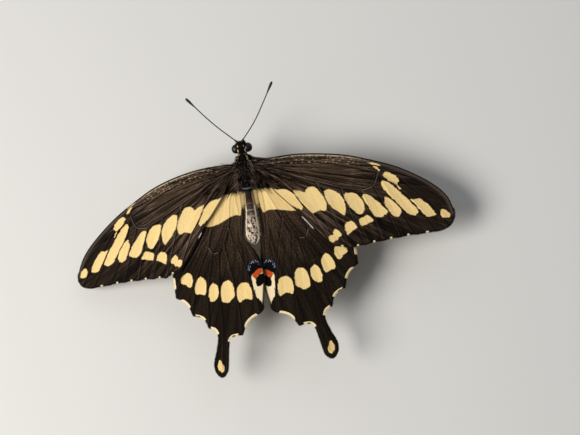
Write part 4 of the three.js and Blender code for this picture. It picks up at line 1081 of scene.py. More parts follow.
def skin_finish():
    f = Finish("body_scales", 0.6, Specular_IOR_Level=0.08)
    lie, fur = f.read("lie", "Vector"), f.read("coat", "Color")
    grain = f.noise(lie, 6, 5, 0.75)
    mottle_and_sheen = f.noise(lie, (1.3, 3.4, 1.3), 5, 0.75)
    rear = f.times(f.between(f.read("along"), 26.0, 30.5), f.between(f.split(lie)[2], -0.8, 0.2))
    colour = f.over(
        fur,
        (f.between(grain, 0.35, 0.75, 0.0, 0.6), f.mix(1.0, fur, "#b8a294", "MULTIPLY")),
        # Painted highlight: pale patches on the top of the abdomen's rear, broken by darker patches.
        (f.times(rear, f.between(mottle_and_sheen, 0.47, 0.54), 0.85), "#eed9c4"),
        (f.times(rear, f.between(mottle_and_sheen, 0.45, 0.38), 0.7), "#2f2521"),
    )
    relief = f.sum("MULTIPLY_ADD", f.cells(lie, (11, 40, 11)), 0.7, grain)
    return f.done(colour, f.bump(relief, 0.5, 0.00012), f.between(grain, 0.3, 0.8, 0.5, 0.8))


def coat_finish(name, roughness, shine):
    """A plain finish in the colours of the coat."""
    f = Finish(name, roughness, Specular_IOR_Level=shine)
    return f.done(f.read("coat", "Color"))


def hair_finish():
    """The finish of all hair, made once."""
    return bpy.data.materials.get("body_hair") or coat_finish("body_hair", 0.65, 0.03)


def map_tufts(piece, places):
    """A bake map where each tuft has a small patch of its own at its root's place."""
    per = len(piece.data.vertices) // len(places)
    if per * len(places) != len(piece.data.vertices):
        raise RuntimeError(f"{piece.name}: the tufts differ in their number of points")
    angle = ring_angles(per)
    patch = np.stack([np.cos(angle), np.sin(angle)], 1) * 0.0015
    uv = (np.asarray(places)[:, None] + patch).reshape(-1, 2)
    corner = np.empty(len(piece.data.loops), np.int32)
    piece.data.loops.foreach_get("vertex_index", corner)
    layer = piece.data.uv_layers.new(name="OFBake")
    layer.data.foreach_set("uv", uv[corner].astype(np.float32).ravel())


def hairs(name, roots, directions, outwards, lengths, width, colours, places, material, bend=0.5):
    """Thin tapered hairs of three sides that rise from their roots and lie back along the coat."""
    joints, count = 3, len(roots)
    per = joints * 3 + 1
    along = unit(directions)
    across = unit(np.cross(along, outwards))
    up = np.cross(across, along)
    steps = np.linspace(0, 1, joints + 1)
    points = []
    for t in steps[:-1]:
        centre = roots + lengths[:, None] * (along * t - up * (bend * t**2) * 0.5)
        taper = (width * (1 - 0.75 * t))[:, None]
        for angle in ring_angles(3) + np.pi / 2:
            points.append(centre + taper * (across * np.cos(angle) + up * 0.6 * np.sin(angle)))
    points.append(roots + lengths[:, None] * (along - up * bend * 0.5))
    faces = []
    for k in range(joints - 1):
        for s in range(3):
            a, b = k * 3 + s, k * 3 + (s + 1) % 3
            faces += [(a, b, b + 3), (a, b + 3, a + 3)]
    faces += [(per - 4 + s, per - 4 + (s + 1) % 3, per - 1) for s in range(3)]
    faces += [(0, 2, 1)]
    faces = (np.array(faces)[None] + (np.arange(count) * per)[:, None, None]).reshape(-1, 3)
    piece = mesh_object(name, np.stack(points, 1).reshape(-1, 3), faces, [material])
    shade = 0.55 + 0.75 * np.append(np.repeat(steps[:-1], 3), 1)
    paint(piece, np.clip(np.repeat(colours, per, axis=0) * np.tile(shade, count)[:, None], 0, 1))
    map_tufts(piece, places)
    return piece


def on_coat(rng, count, low, high, allowed):
    """Random places on the skin, even over its area, where allowed says so."""
    found_y, found_a = [], []
    while sum(map(len, found_y)) < count:
        y = rng.uniform(low, high, count)
        a = rng.uniform(-np.pi / 2, 1.5 * np.pi, count)
        keep = (rng.uniform(0, 3.6, count) < read_rows(BODY, y)[0]) & (rng.random(count) < allowed(y, a))
        found_y.append(y[keep])
        found_a.append(a[keep])
    return np.concatenate(found_y)[:count], np.concatenate(found_a)[:count]


def skin_frame(y, angle):
    """Places on the skin, the way back along the body and the way out."""
    e = 0.02
    here = skin_point(y, angle)
    back = unit(skin_point(y + e, angle) - skin_point(y - e, angle))
    out = np.cross(back, unit(skin_point(y, angle + e) - skin_point(y, angle - e)))
    x, z = midline(y)
    out *= np.sign(np.sum(out * (here - np.stack([x, y, z], -1)), axis=1, keepdims=True))
    return here, back, out


def beside_midline(x, y, z, sign):
    """A place by its distances from the body's midline."""
    mx, mz = midline(y)
    return np.array([float(mx) + sign * x, y, float(mz) + z])


def blended(share, a, b):
    """Colour a where the share is zero, and b where it is one."""
    return a * (1 - share[:, None]) + b * share[:, None]


def coat(name, seed, count, low, high, allowed, length, width, rise, splay, material, aside=0.0, contrast=0.5,
         forward=False):
    """Hair on a stretch of the body, lying back and aside with a little rise and splay."""
    rng = np.random.default_rng(seed)
    y, a = on_coat(rng, count, low, high, allowed)
    here, back, out = skin_frame(y, a)
    for sign in SIDES.values():
        clear = np.linalg.norm(here - beside_midline(*EYE, sign), axis=1) > EYE_RADIUS + 0.05
        here, back, out, y, a = (values[clear] for values in (here, back, out, y, a))
    n = len(y)
    swing = (rng.normal(0, splay, n) + aside * np.cos(a))[:, None]
    tilt = (rise(y, a) * rng.uniform(0.6, 1.5, n))[:, None]
    aim = (-back if forward else back) * np.cos(swing) + np.array([1.0, 0, 0]) * np.sin(swing) + out * tilt
    tint = body_colour(y, a)
    bright = tint.sum(1, keepdims=True) > 0.5
    lengths = length(y, a) * rng.uniform(0.6, 1.2, n) * np.where(bright[:, 0] & (y < 14), 0.5, 1)
    tint = tint * np.where(bright, rng.uniform(0.8, 1.1, (n, 1)), rng.uniform(0.25, 1.2, (n, 1)))
    share = 0.11 * contrast * (0.3 + smoothstep((np.abs(np.cos(a)) - 0.3) / 0.3))
    light = ((rng.random(n) < share) & (y > 10.5) & (y < 20))[:, None]
    tint = np.where(light, tone("#a58c7c") * rng.uniform(0.3, 1.2, (n, 1)), tint)
    places = np.stack([0.02 + 0.96 * (a + np.pi / 2) / (2 * np.pi), 0.02 + 0.96 * (y - 4.9) / 31.3], 1)
    widths = width * rng.uniform(0.6, 1.3, n)
    return hairs(name, here - out * 0.05, aim, out, lengths, widths, tint, places, material)


def wing_places(x, y):
    """Where a wing's hairs lie on their bake map."""
    return np.stack([0.02 + x / 30, 0.02 + y / 40], 1)


def wing_hair(side, kind, seed, count, reach, length, material):
    """Long hair on a wing's base that lies out and back over the membrane like a fan."""
    rng = np.random.default_rng(seed)
    first, last = ROOT_EDGE[kind]
    x = ROOT_X - 1.2 + rng.random(count) ** 1.9 * reach
    share = rng.random(count)
    spread = (x - ROOT_X + 1.2) / reach
    y = first + 0.35 + share * (last - first - 0.5) + spread * (share - 0.1) * reach * 0.85
    keep = signed_distance(np.stack([x, y], 1), OUTLINES[kind](1.0, 2.3)) < -0.3
    x, y, spread = x[keep], y[keep], spread[keep]
    n = len(x)
    centre = FAN_CENTRE[kind]
    heading = np.arctan2(y - centre[1], x - centre[0]) * 0.85 + rng.normal(0, 0.13, n)
    here, aim = posed_way(x, y, np.cos(heading) * 0.5, np.sin(heading) * 0.5, kind, side)
    normal = wing_normals(x, y, kind, side)
    aim = aim + normal * rng.uniform(0.02, 0.14, (n, 1))
    pick = rng.random((n, 1))
    tint = np.where(pick < 0.6, tone("#0d0907"), tone("#3d2f27"))
    tint = np.where(pick > 0.86, tone("#8f7869"), tint) * rng.uniform(0.6, 1.2, (n, 1))
    lengths = length * rng.uniform(0.5, 1.5, n) * (1 - 0.4 * spread)
    return hairs(f"{kind}_{side}_base_hair", here + normal * 0.08, aim, normal, lengths,
                 rng.uniform(0.04, 0.08, n), tint, wing_places(x, y), material, bend=0.06)


def inner_hair(side, seed, count, material):
    """Hair along a hindwing's inner margin that reaches over to the abdomen."""
    rng = np.random.default_rng(seed)
    y = 19.6 + 14 * rng.random(count) ** 1.3
    x = np.interp(y, *np.array(INNER_MARGIN).T) + rng.uniform(0.15, 1.1, count)
    heading = np.radians(rng.normal(148, 12, count))
    here, aim = posed_way(x, y, np.cos(heading) * 0.4, np.sin(heading) * 0.4, "hindwing", side)
    normal = wing_normals(x, y, "hindwing", side)
    pale = smoothstep((25.2 - y + rng.normal(0, 0.5, count)) / 1.5)
    tint = blended(pale, tone("#2b211b"), tone("#e0c68f")) * rng.uniform(0.7, 1.1, (count, 1))
    lengths = rng.uniform(0.7, 1.25, count) * np.where(y > 25, 0.6, 1)
    return hairs(f"hindwing_{side}_inner_hair", here + normal * 0.08, aim + normal * 0.1, normal, lengths,
                 rng.uniform(0.035, 0.06, count), tint, wing_places(x, y), material, bend=0.15)


# ---------------------------------------------------------------- limbs and feelers


def curve_through(points, step):
    """A smooth curve in space through a few points."""
    p = np.array(points, float)
    q = np.vstack([2 * p[0] - p[1], p, 2 * p[-1] - p[-2]])
    t = np.linspace(0, 1, 40, endpoint=False)[:, None]
    parts = []
    for x0, x1, x2, x3 in zip(q, q[1:], q[2:], q[3:]):
        d0, d1, d2 = (max(np.linalg.norm(b - a) ** 0.5, 1e-4) for a, b in ((x0, x1), (x1, x2), (x2, x3)))
        t1 = ((x1 - x0) / d0 - (x2 - x0) / (d0 + d1) + (x2 - x1) / d1) * d1
        t2 = ((x2 - x1) / d1 - (x3 - x1) / (d1 + d2) + (x3 - x2) / d2) * d1
        square, cube = -3 * x1 + 3 * x2 - 2 * t1 - t2, 2 * x1 - 2 * x2 + t1 + t2
        parts.append(x1 + t1 * t + square * t**2 + cube * t**3)
    return evenly(np.vstack([*parts, p[-1:]]), step)


def tube(path, radii, sides=14, squash=1.0):
    """Points and triangles of a closed limb, its rings carried along the path without twist."""
    along = unit(np.gradient(path, axis=0))
    right = np.cross(along[0], [0, 0, 1.0] if abs(along[0][2]) < 0.8 else [0, 1.0, 0])
    cos, sin = np.cos(ring_angles(sides))[:, None], np.sin(ring_angles(sides))[:, None]
    rings = []
    for centre, radius, ahead in zip(path, radii, along):
        right = unit(right - ahead * (right @ ahead))
        rings.append(centre + radius * (cos * right + squash * sin * np.cross(right, ahead)))
    return loft(np.array(rings))


def loft(rings):
    """Points and triangles of a closed shape through rings of points, its faces outwards."""
    count, sides = rings.shape[:2]
    points = np.vstack([rings.reshape(-1, 3), rings[0].mean(0), rings[-1].mean(0)])
    s = np.arange(sides)
    after, end = (s + 1) % sides, (count - 1) * sides
    start = np.arange(count - 1)[:, None] * sides
    a, b = (start + s).ravel(), (start + after).ravel()
    faces = np.vstack([
        np.stack([a, b, b + sides], 1), np.stack([a, b + sides, a + sides], 1),
        np.stack([np.full(sides, len(points) - 2), after, s], 1),
        np.stack([np.full(sides, len(points) - 1), end + s, end + after], 1),
    ])
    corners = points[faces]
    volume = np.sum(corners[:, 0] * np.cross(corners[:, 1], corners[:, 2]))
    return points, faces if volume > 0 else faces[:, ::-1]


def gather(parts):
    """Joins (points, faces) parts into one set."""
    starts = np.cumsum([0, *(len(points) for points, _ in parts)])
    return np.vstack([points for points, _ in parts]), np.vstack([f + n for (_, f), n in zip(parts, starts)])


def ball(centre, radius, around=20, rows=12):
    t = np.linspace(0, np.pi, rows + 2)[1:-1][:, None]
    a = ring_angles(around)
    rings = np.stack([np.sin(t) * np.cos(a), np.sin(t) * np.sin(a), np.cos(t) * np.ones(around)], -1)
    points, faces = loft(rings * radius + centre)
    points[-2:] = centre + np.array([[0, 0, radius], [0, 0, -radius]])
    return points, faces


# The places of each feeler's bend and tip, and the length of its joints.
ANTENNAE = {
    "left": ((7.1, -0.4, 19.4), (13.9, -8.4, 23.8)),
    "right": ((-5.6, 0.6, 19.4), (-13.0, -9.2, 23.8)),
}
ANTENNA_JOINT = 0.62


def antenna(side, material):
    """A feeler of short joints that ends in a slender bent club."""
    path = curve_through([beside_midline(0.75, 5.3, 1.5, SIDES[side]), *ANTENNAE[side]], 0.08)
    run = np.append(-0.5, run_along(path))
    path = np.vstack([path[0] - unit(path[1] - path[0]) * 0.5, path])
    left = run[-1] - run
    swell = smoothstep((4.2 - left) / 3.2) * np.sqrt(np.clip(left / 0.7 + 0.04, 0, 1))
    ringed = np.abs(((run / ANTENNA_JOINT) % 1) - 0.5) * 2
    radii = (0.17 + 0.24 * swell) * (1 - 0.13 * smoothstep((ringed - 0.72) / 0.28))
    radii = np.where(run < 0.55, 0.30, np.where(run < 0.95, 0.25, radii))
    radii[-1] *= 0.35
    sides = 14
    piece = mesh_object(f"antenna_{side}_jointed", *tube(path, radii, sides), [material])
    give(piece, "run", np.concatenate([np.repeat(run, sides), run[[0, -1]]]))
    return piece


def antenna_finish():
    f = Finish("antenna_horn", 0.42, Specular_IOR_Level=0.4)
    grain = f.noise(f.place(), 9000, 3, 0.7)
    joints = f.sum("FRACT", f.sum("DIVIDE", f.read("run"), ANTENNA_JOINT))
    colour = f.mix(f.between(f.away(joints, 0.5), 0.38, 0.5), "#12100f", "#2c2620")
    colour = f.over(colour, (f.between(grain, 0.4, 0.8, 0, 0.4), "#1f1b18"))
    return f.done(colour, f.bump(grain, 0.25, 0.00004), f.between(grain, 0.3, 0.8, 0.34, 0.55))


def tongue(material):
    """The tongue rolled like a watch spring below the mouth."""
    mouth = beside_midline(0, 6.3, -1.9, 1)
    turns, inner, pitch = 3, 0.25, 0.32
    outer = inner + turns * pitch
    share = np.linspace(0, 1, 160)
    radius, angle = outer - turns * pitch * share, -2 * np.pi * turns * share
    coil = np.stack([0 * share, radius * np.cos(angle), radius * np.sin(angle)], 1)
    coil += mouth + np.array([0, -outer, -GAP - 0.5])
    lead = curve_through([mouth + np.array([0, 0, 0.7]), mouth - np.array([0, 0, 0.25]), coil[0]], 0.05)
    path = np.vstack([lead[:-1], coil])
    share = np.linspace(0, 1, len(path))
    ribs = 1 - 0.06 * (np.arange(len(path)) % 2)
    return mesh_object("tongue_coil", *tube(path, 0.14 * (1 - 0.35 * share) * ribs), [material])


# A palp's base beside the midline, how far below the midline its cream ends, and its line.
PALP_BASE = (0.75, 5.2, -1.35)
PALP_TOP = 0.4
PALP_LINE = [(0, -0.5, -0.1), (0.05, 0.05, -0.2), (0.1, 0.25, 0.15), (0.12, 0.32, 0.65), (0.12, 0.3, 1.15)]


def palp_path(sign, line, step):
    """A palp's line on one side, from its rows of aside, ahead and up."""
    base = beside_midline(*PALP_BASE, sign)
    return curve_through([base + np.array([sign * x, -y, z]) for x, y, z in line], step)


def palps(material):
    """Two short upturned palps in front of the face."""
    parts = []
    for sign in SIDES.values():
        path = palp_path(sign, PALP_LINE, 0.08)
        share = np.linspace(0, 1, len(path))
        radii = 0.3 * np.sqrt(np.clip(share / 0.1 + 0.3, 0, 1)) * (1 - 0.55 * share**2)
        radii = radii * np.sqrt(np.clip((1 - share) / 0.08 + 0.05, 0, 1))
        radii = radii * (1 - 0.1 * bell(share - 0.68, 0.03))
        parts.append(tube(path, radii, 18))
    return mesh_object("palps_scaled", *gather(parts), [material])


def palp_hair(material):
    """Bristly scales that stand forward on the palps."""
    rng = np.random.default_rng(41)
    rows = []
    for sign in SIDES.values():
        path = palp_path(sign, PALP_LINE[1:], 0.05)
        tangent = unit(np.gradient(path, axis=0))
        k = rng.integers(2, len(path) - 2, 420)
        angle = rng.uniform(0, 2 * np.pi, len(k))
        sideways = np.array([1.0, 0, 0])
        right = unit(np.cross(tangent[k], sideways))
        out = right * np.cos(angle)[:, None] + sideways * np.sin(angle)[:, None]
        aim = tangent[k] + out * 0.5 + rng.normal(0, 0.12, (len(k), 3))
        place = np.stack([0.1 + 0.35 * (sign > 0) + 0.3 * k / len(path), 0.1 + angle / 8], 1)
        rows.append((path[k] + out * 0.22, aim, out, place))
    roots, aims, outs, places = map(np.vstack, zip(*rows))
    n = len(roots)
    pale = (rng.random((n, 1)) < 0.7) & (roots[:, 2:] < midline(PALP_BASE[1])[1] - PALP_TOP)
    tint = np.where(pale, tone("#dcc98e"), tone("#1a1511")) * rng.uniform(0.7, 1.1, (n, 1))
    return hairs("palp_hair", roots, aims, outs, rng.uniform(0.15, 0.35, n), rng.uniform(0.02, 0.035, n),
                 tint, places, material, bend=0.2)


def palp_finish():
    f = Finish("palp_scales", 0.7, Specular_IOR_Level=0.2)
    grain = f.noise(f.place(), 6000, 4, 0.7)
    top = float(in_frame(beside_midline(0, PALP_BASE[1], -PALP_TOP, 1))[2])
    colour = f.over(
        f.mix(f.between(grain, 0.4, 0.6), "#cdb87c", "#efe0ab"),
        (f.between(f.split(f.place())[2], top - 0.0003, top + 0.0003), "#120d0a"),
    )
    return f.done(colour, f.bump(grain, 0.4, 0.00006))


def tongue_finish():
    f = Finish("tongue_horn", 0.38, Specular_IOR_Level=0.45)
    grain = f.noise(f.place(), 8000)
    return f.done(f.mix(grain, "#1c110b", "#3a2416"), f.bump(grain, 0.2, 0.00004))


def eye(side, material):
    """A ball whose poles are at its sides."""
    points, faces = ball(np.zeros(3), EYE_RADIUS, 72, 46)
    points = points[:, [2, 0, 1]] * np.array([SIDES[side], 1, 1]) + beside_midline(*EYE, SIDES[side])
    return mesh_object(f"eye_{side}_facets", points, faces if side == "left" else faces[:, ::-1], [material])


def eye_finish():
    f = Finish("eye_facets", 0.3, Specular_IOR_Level=0.3, Coat_Weight=0.12, Coat_Roughness=0.15)
    facets = f.cells(f.place(), 14000)
    broad = f.noise(f.place(), 700)
    colour = f.mix(f.between(broad, 0.35, 0.65), "#08060a", "#19141f")
    colour = f.over(colour, (f.between(facets, 0.35, 0.75, 0, 0.5), "#040305"))
    return f.done(colour, f.bump(facets, 0.18, 0.00003), f.between(broad, 0.3, 0.7, 0.26, 0.4))


# Each leg's places beside the midline: hip, end of the coxa, knee, ankle and toe, and the coxa's stub.
LEGS = {
    "front": {
        "hip": (1.0, 9.6), "stub": 2.4, "coxa": (1.7, 9.1, 8.8), "knee": (9.0, 11.9, 8.8),
        "ankle": (13.2, 12.9, 0.9), "toe": (21.4, 11.3, 0.0),
    },
    "middle": {
        "hip": (1.7, 13.4), "stub": 3.9, "coxa": (2.8, 13.4, 7.4), "knee": (10.5, 15.6, 9.0),
        "ankle": (15.2, 18.4, 0.9), "toe": (22.4, 24.2, 0.0),
    },
    "hind": {
        "hip": (1.5, 17.0), "stub": 3.5, "coxa": (2.4, 17.8, 7.6), "knee": (5.9, 25.8, 9.2),
        "ankle": (8.8, 31.4, 0.9), "toe": (10.6, 40.7, 0.0),
    },
}
# How much further forward the right feet stand than the left ones.
STRIDE = 1.1


def foot(start, along, length):
    """Five tapered joints that lie flat on the ground."""
    side = np.array([-along[1], along[0], 0])
    a = ring_angles(12)
    parts = []
    for i in range(5):
        rings = []
        for at, girth in ((0.0, 0.55), (0.06, 0.78), (0.25, 0.84), (0.6, 0.98), (0.85, 1.08), (0.96, 1.0),
                          (1.02, 0.7)):
            r = girth * 0.27 * (1 - 0.07 * i)
            z = np.maximum(0.24 + r * np.sin(a), 0.0)
            centre = start + along * (i + at) * (length / 5)
            rings.append(centre + side * (r * np.cos(a))[:, None] + np.array([0, 0, 1.0]) * z[:, None])
        parts.append(loft(np.array(rings)))
    return parts


def leg(name, side, material):
    """A leg with its finish's colours, and where each of its points lies on a bake map."""
    sign, shape = SIDES[side], LEGS[name]
    stride = STRIDE if side == "right" else 0.0

    def place(key, share):
        x, y, z = shape[key]
        return np.array([sign * x, y - stride * share, z])

    coxa, knee, ankle, toe = place("coxa", 0), place("knee", 0.5), place("ankle", 1), place("toe", 1)
    root = beside_midline(*shape["hip"], 0, sign)
    hip = root + (coxa - root) / np.linalg.norm(coxa - root) * (shape["stub"] - 1.2)
    heel = ankle * [1, 1, 0]
    length = np.linalg.norm(toe - heel)
    along = (toe - heel) / length
    aside = np.array([-along[1], along[0], 0])
    parts, tints, wraps = [], [], []

    def add(part, code, sides):
        k = np.arange(len(part[0]))
        parts.append(part)
        tints.append(np.tile(tone(code), (len(k), 1)))
        wraps.append(np.stack([k % sides / sides, len(parts) / 20 + 0.045 * k / len(k)], 1))

    def limb(places, step, girth, code, sides, squash=1.0):
        path = curve_through(places, step)
        add(tube(path, girth(np.linspace(0, 1, len(path))), sides, squash), code, sides)

    def raised(a, b, x, z):
        return (a + b) / 2 + np.array([x, 0, z])

    def at_toe(ahead, out, up):
        return toe + along * ahead + aside * out + np.array([0, 0, up])

    limb([hip, (hip + coxa) / 2, coxa], 0.12, lambda s: 0.66 - 0.12 * s + 0.05 * np.sin(np.pi * s),
         "#3a2e24", 14)
    add(ball(coxa, 0.56), "#31261d", 20)
    limb([coxa, raised(coxa, knee, 0, 0.35), knee], 0.12,
         lambda s: 0.36 + 0.23 * np.sin(np.pi * np.clip(s * 0.9 + 0.08, 0, 1)) ** 0.8, "#4a3a2a", 16, 0.85)
    add(ball(knee, 0.42, 18, 10), "#2a2019", 18)
    ankle_end = heel + np.array([0, 0, 0.42]) + along * 0.3
    limb([knee, raised(knee, ankle, sign * 0.12, 0.1), ankle_end], 0.12,
         lambda s: 0.29 + 0.05 * np.sin(np.pi * s) + 0.05 * smoothstep((s - 0.85) / 0.15), "#2a2018", 14)
    for part in foot(heel, along, length):
        add(part, "#221a14", 12)
    for turn in (1, -1):
        claw = [
            at_toe(-0.35, turn * 0.05, 0.24), at_toe(0.2, turn * 0.28, 0.38), at_toe(0.78, turn * 0.52, 0.1),
        ]
        limb(claw, 0.05, lambda s: 0.11 * (1 - 0.85 * s**1.5), "#120d0a", 10)
        start = knee + (ankle - knee) * 0.88
        tip = start + along * 0.9 + aside * turn * 0.55 + np.array([0, 0, -0.22])
        limb([start, raised(start, tip, 0, 0.08), tip], 0.08, lambda s: 0.12 * (1 - 0.8 * s), "#2a2018", 10)
    points, faces = gather(parts)
    points[:, 2] = np.maximum(points[:, 2], 0)
    piece = mesh_object(f"leg_{name}_{side}_jointed", points, faces, [material])
    paint(piece, np.vstack(tints))
    return piece, points, np.vstack(wraps)


def leg_finish():
    f = Finish("leg_horn", 0.48, Specular_IOR_Level=0.35)
    grain = f.noise(f.place(), 5000, 4, 0.75)
    colour = f.over(
        f.read("coat", "Color"),
        (f.between(grain, 0.5, 0.66, 0, 0.65), "#9c8257"),
        (f.between(grain, 0.46, 0.3), "#120d0a"),
    )
    relief = f.sum("MULTIPLY_ADD", f.cells(f.place(), 9000), 0.6, grain)
    return f.done(colour, f.bump(relief, 0.4, 0.00006), f.between(grain, 0.3, 0.7, 0.38, 0.62))


def bristle_finish():
    f = Finish("bristle_horn", 0.45, Specular_IOR_Level=0.35)
    return f.done(f.mix(f.noise(f.place(), 3000, 2, 0.5), "#15100c", "#4a3826"))


# ---------------------------------------------------------------- what repeats: geometry nodes


# How many points one scale or bristle has.
CONE_POINTS = 12


def scatter_tree(name, material, aimed):
    """A tree that sets one small tapered scale on each point or, where nothing aims it, over a surface."""
    tree = bpy.data.node_groups.new(name, "GeometryNodeTree")
    tree.interface.new_socket("Geometry", in_out="INPUT", socket_type="NodeSocketGeometry")
    tree.interface.new_socket("Geometry", in_out="OUTPUT", socket_type="NodeSocketGeometry")
    for title, kind, default in (
        ("Length", "Float", 0.0006), ("Width", "Float", 0.00012), ("Density", "Float", 1.0),
        ("Variation", "Float", 0.35), ("Seed", "Int", 7),
    ):
        socket = tree.interface.new_socket(title, in_out="INPUT", socket_type="NodeSocket" + kind)
        socket.default_value = default

    def node(kind, plugs=(), **settings):
        return add_node(tree, kind, plugs, **settings).outputs

    given = node("NodeGroupInput")
    radii = {"Radius Top": 0.12 if aimed else 0.02, "Radius Bottom": 0.5}
    cone = node("GeometryNodeMeshCone", {"Vertices": 5, **radii, "Depth": 1.0}, fill_type="TRIANGLE_FAN")
    thin = node("ShaderNodeMath", {0: given["Width"], 1: 0.3 if aimed else 1.0}, operation="MULTIPLY")
    size = node("ShaderNodeCombineXYZ", {0: given["Width"], 1: thin[0], 2: given["Length"]})
    shaped = node("GeometryNodeTransform", {"Geometry": cone["Mesh"], "Scale": size[0]})
    if aimed:
        points = node("GeometryNodeMeshToPoints", {"Mesh": given["Geometry"]})
        aim, normal = (
            node("GeometryNodeInputNamedAttribute", {"Name": title}, data_type="FLOAT_VECTOR")[0]
            for title in ("aim", "facing")
        )
    else:
        points = node("GeometryNodeDistributePointsOnFaces", {
            "Mesh": given["Geometry"], "Density": given["Density"], "Seed": given["Seed"],
        })
        normal = points["Normal"]
        aim = node("ShaderNodeVectorMath", {0: normal, 1: (0.0, 0.0, -1.1)}, operation="ADD")[0]
    turn = node("FunctionNodeAlignRotationToVector", {"Vector": aim}, axis="Z")
    turn = node("FunctionNodeAlignRotationToVector", {"Rotation": turn[0], "Vector": normal}, axis="Y",
                pivot_axis="Z")
    least = node("ShaderNodeMath", {0: 1.0, 1: given["Variation"]}, operation="SUBTRACT")
    varied = node("FunctionNodeRandomValue", {2: least[0], 3: 1.15, "Seed": given["Seed"]})
    placed = node("GeometryNodeInstanceOnPoints", {
        "Points": points[0], "Instance": shaped[0], "Rotation": turn[0], "Scale": varied[1],
    })
    real = node("GeometryNodeRealizeInstances", {0: placed[0]})
    finished = node("GeometryNodeSetMaterial", {"Geometry": real[0], "Material": material})
    node("NodeGroupOutput", {0: finished[0]})
    return tree


def grown(carrier, tree, name, **values):
    """Runs a tree on a carrier and keeps the result as a plain mesh."""
    modifier = carrier.modifiers.new("grow", "NODES")
    modifier.node_group = tree
    for item in tree.interface.items_tree:
        if item.in_out == "INPUT" and item.name in values:
            modifier[item.identifier] = values[item.name]
    graph = bpy.context.evaluated_depsgraph_get()
    mesh = bpy.data.meshes.new_from_object(carrier.evaluated_get(graph), depsgraph=graph)
    carrier.modifiers.remove(modifier)
    mesh.name = name
    if not len(mesh.polygons):
        raise RuntimeError(f"{name} grew nothing")
    return linked(name, mesh)


# Where the painted highlight, pale scales along each forewing's inner margin, ends.
PAINTED_GLINT_END = {"left": 32.2, "right": 34.8}


def fringe(kind, side, tree, length, width):
    """Small scales that stand out along a wing's margin, dark save where a pale crescent meets it. Pale
    scales on a forewing's inner margin are a painted highlight.
    """
    outline = OUTLINES[kind](0.1, 2.7)
    rng = np.random.default_rng(11 if kind == "forewing" else 12)
    x, y = outline.T
    rear = (y > 30) & ((x < 58) | (y > 34)) if kind == "forewing" else y > 38
    flat = np.repeat(outline[rear], 2, axis=0)
    out = np.repeat(beside(outline)[rear], 2, axis=0)
    out = np.where(inside(flat + out * 0.05, outline)[:, None], -out, out)
    out = out + rng.normal(0, 0.16, out.shape)
    flat = flat + rng.normal(0, 0.03, flat.shape)
    x, y = flat.T
    here, aim = posed_way(x, y, *(out * 0.1).T, kind, side)
    wide = 0.0 if kind == "forewing" else 0.55
    pale = smoothstep((wide - nearest_of(flat, LUNULES[kind])) / 0.25)
    tint = blended(pale, tone("#120c09"), tone("#ecd49c"))
    if kind == "forewing":
        # Painted highlight: pale scales laid where the forewing's rolled inner margin glints.
        edge = smoothstep((y - 30.2) / 0.5) * smoothstep((PAINTED_GLINT_END[side] - y) / 0.8) * (x < 24)
        tint = blended(edge, tint, tone("#ddd4cd"))
    tint = tint * rng.uniform(0.75, 1.15, (len(x), 1))
    mesh = bpy.data.meshes.new("margin")
    set_points(mesh, here - aim * 0.08)
    mesh.update()
    carrier = linked("margin", mesh)
    give(carrier, "aim", aim)
    give(carrier, "facing", wing_normals(x, y, kind, side))
    paint(carrier, tint)
    piece = grown(carrier, tree, f"{kind}_{side}_fringe", Length=length, Width=width, Seed=5, Variation=0.35)
    map_tufts(piece, 0.02 + flat / [65, 80])
    bpy.data.objects.remove(carrier)
    return piece


def bristles(piece, name, points, wrap, tree, density):
    """Bristles over a leg, mapped by the leg's point that is nearest to each root."""
    spines = grown(piece, tree, name, Length=0.00042, Width=0.00005, Density=density, Seed=3, Variation=0.45)
    for vertex in spines.data.vertices:
        vertex.co.z = max(vertex.co.z, 0.0)
    near = kdtree.KDTree(len(points))
    for k, point in enumerate(in_frame(points)):
        near.insert(point, k)
    near.balance()
    roots = list(spines.data.vertices)[::CONE_POINTS]
    map_tufts(spines, wrap[[near.find(vertex.co)[1] for vertex in roots]] * 0.96 + 0.02)
    return spines


# ---------------------------------------------------------------- settings a user would change


class WingSettings(bpy.types.PropertyGroup):
    point_spacing: bpy.props.FloatProperty(
        name="Point spacing", description="Distance between the points of a wing's membrane",
        default=0.0003, min=0.0002, max=0.002, unit="LENGTH", precision=5)
    fringe_length: bpy.props.FloatProperty(
        name="Fringe length", description="Length of the scales along a wing's margin",
        default=0.00038, min=0.0001, max=0.002, unit="LENGTH", precision=5)
    fringe_width: bpy.props.FloatProperty(
        name="Fringe width", description="Width of a scale along a wing's margin",
        default=0.00014, min=0.00005, max=0.0006, unit="LENGTH", precision=5)
    base_hair_length: bpy.props.FloatProperty(
        name="Base hair length", description="Length of the long hair on a wing's base",
        default=0.0034, min=0.0005, max=0.006, unit="LENGTH", precision=5)


class BodySettings(bpy.types.PropertyGroup):
    hair_share: bpy.props.FloatProperty(
        name="Hair share", description="Share of the full number of hairs on the body",
        default=1.0, min=0.05, max=1.5, subtype="FACTOR")
    chest_hair_length: bpy.props.FloatProperty(
        name="Chest hair length", description="Length of the hair on the chest's back",
        default=0.0009, min=0.0003, max=0.003, unit="LENGTH", precision=5)
    bristle_density: bpy.props.FloatProperty(
        name="Bristle density", description="Bristles on a square metre of leg",
        default=7.0e6, min=1.0e5, max=3.0e7)


class StageSettings(bpy.types.PropertyGroup):
    floor_size: bpy.props.FloatProperty(
        name="Floor size", description="Width of the floor", default=4.0, min=0.5, max=20, unit="LENGTH")
    floor_colour: bpy.props.FloatVectorProperty(
        name="Floor colour", description="Colour of the floor", subtype="COLOR", size=3, min=0, max=1,
        default=(0.68, 0.675, 0.66))
    key_power: bpy.props.FloatProperty(
        name="Key light", description="Power of the main light in watts", default=3.9, min=0, max=200)
    fill_power: bpy.props.FloatProperty(
        name="Fill light", description="Power of the fill light in watts", default=0.5, min=0, max=200)


# ---------------------------------------------------------------- operators


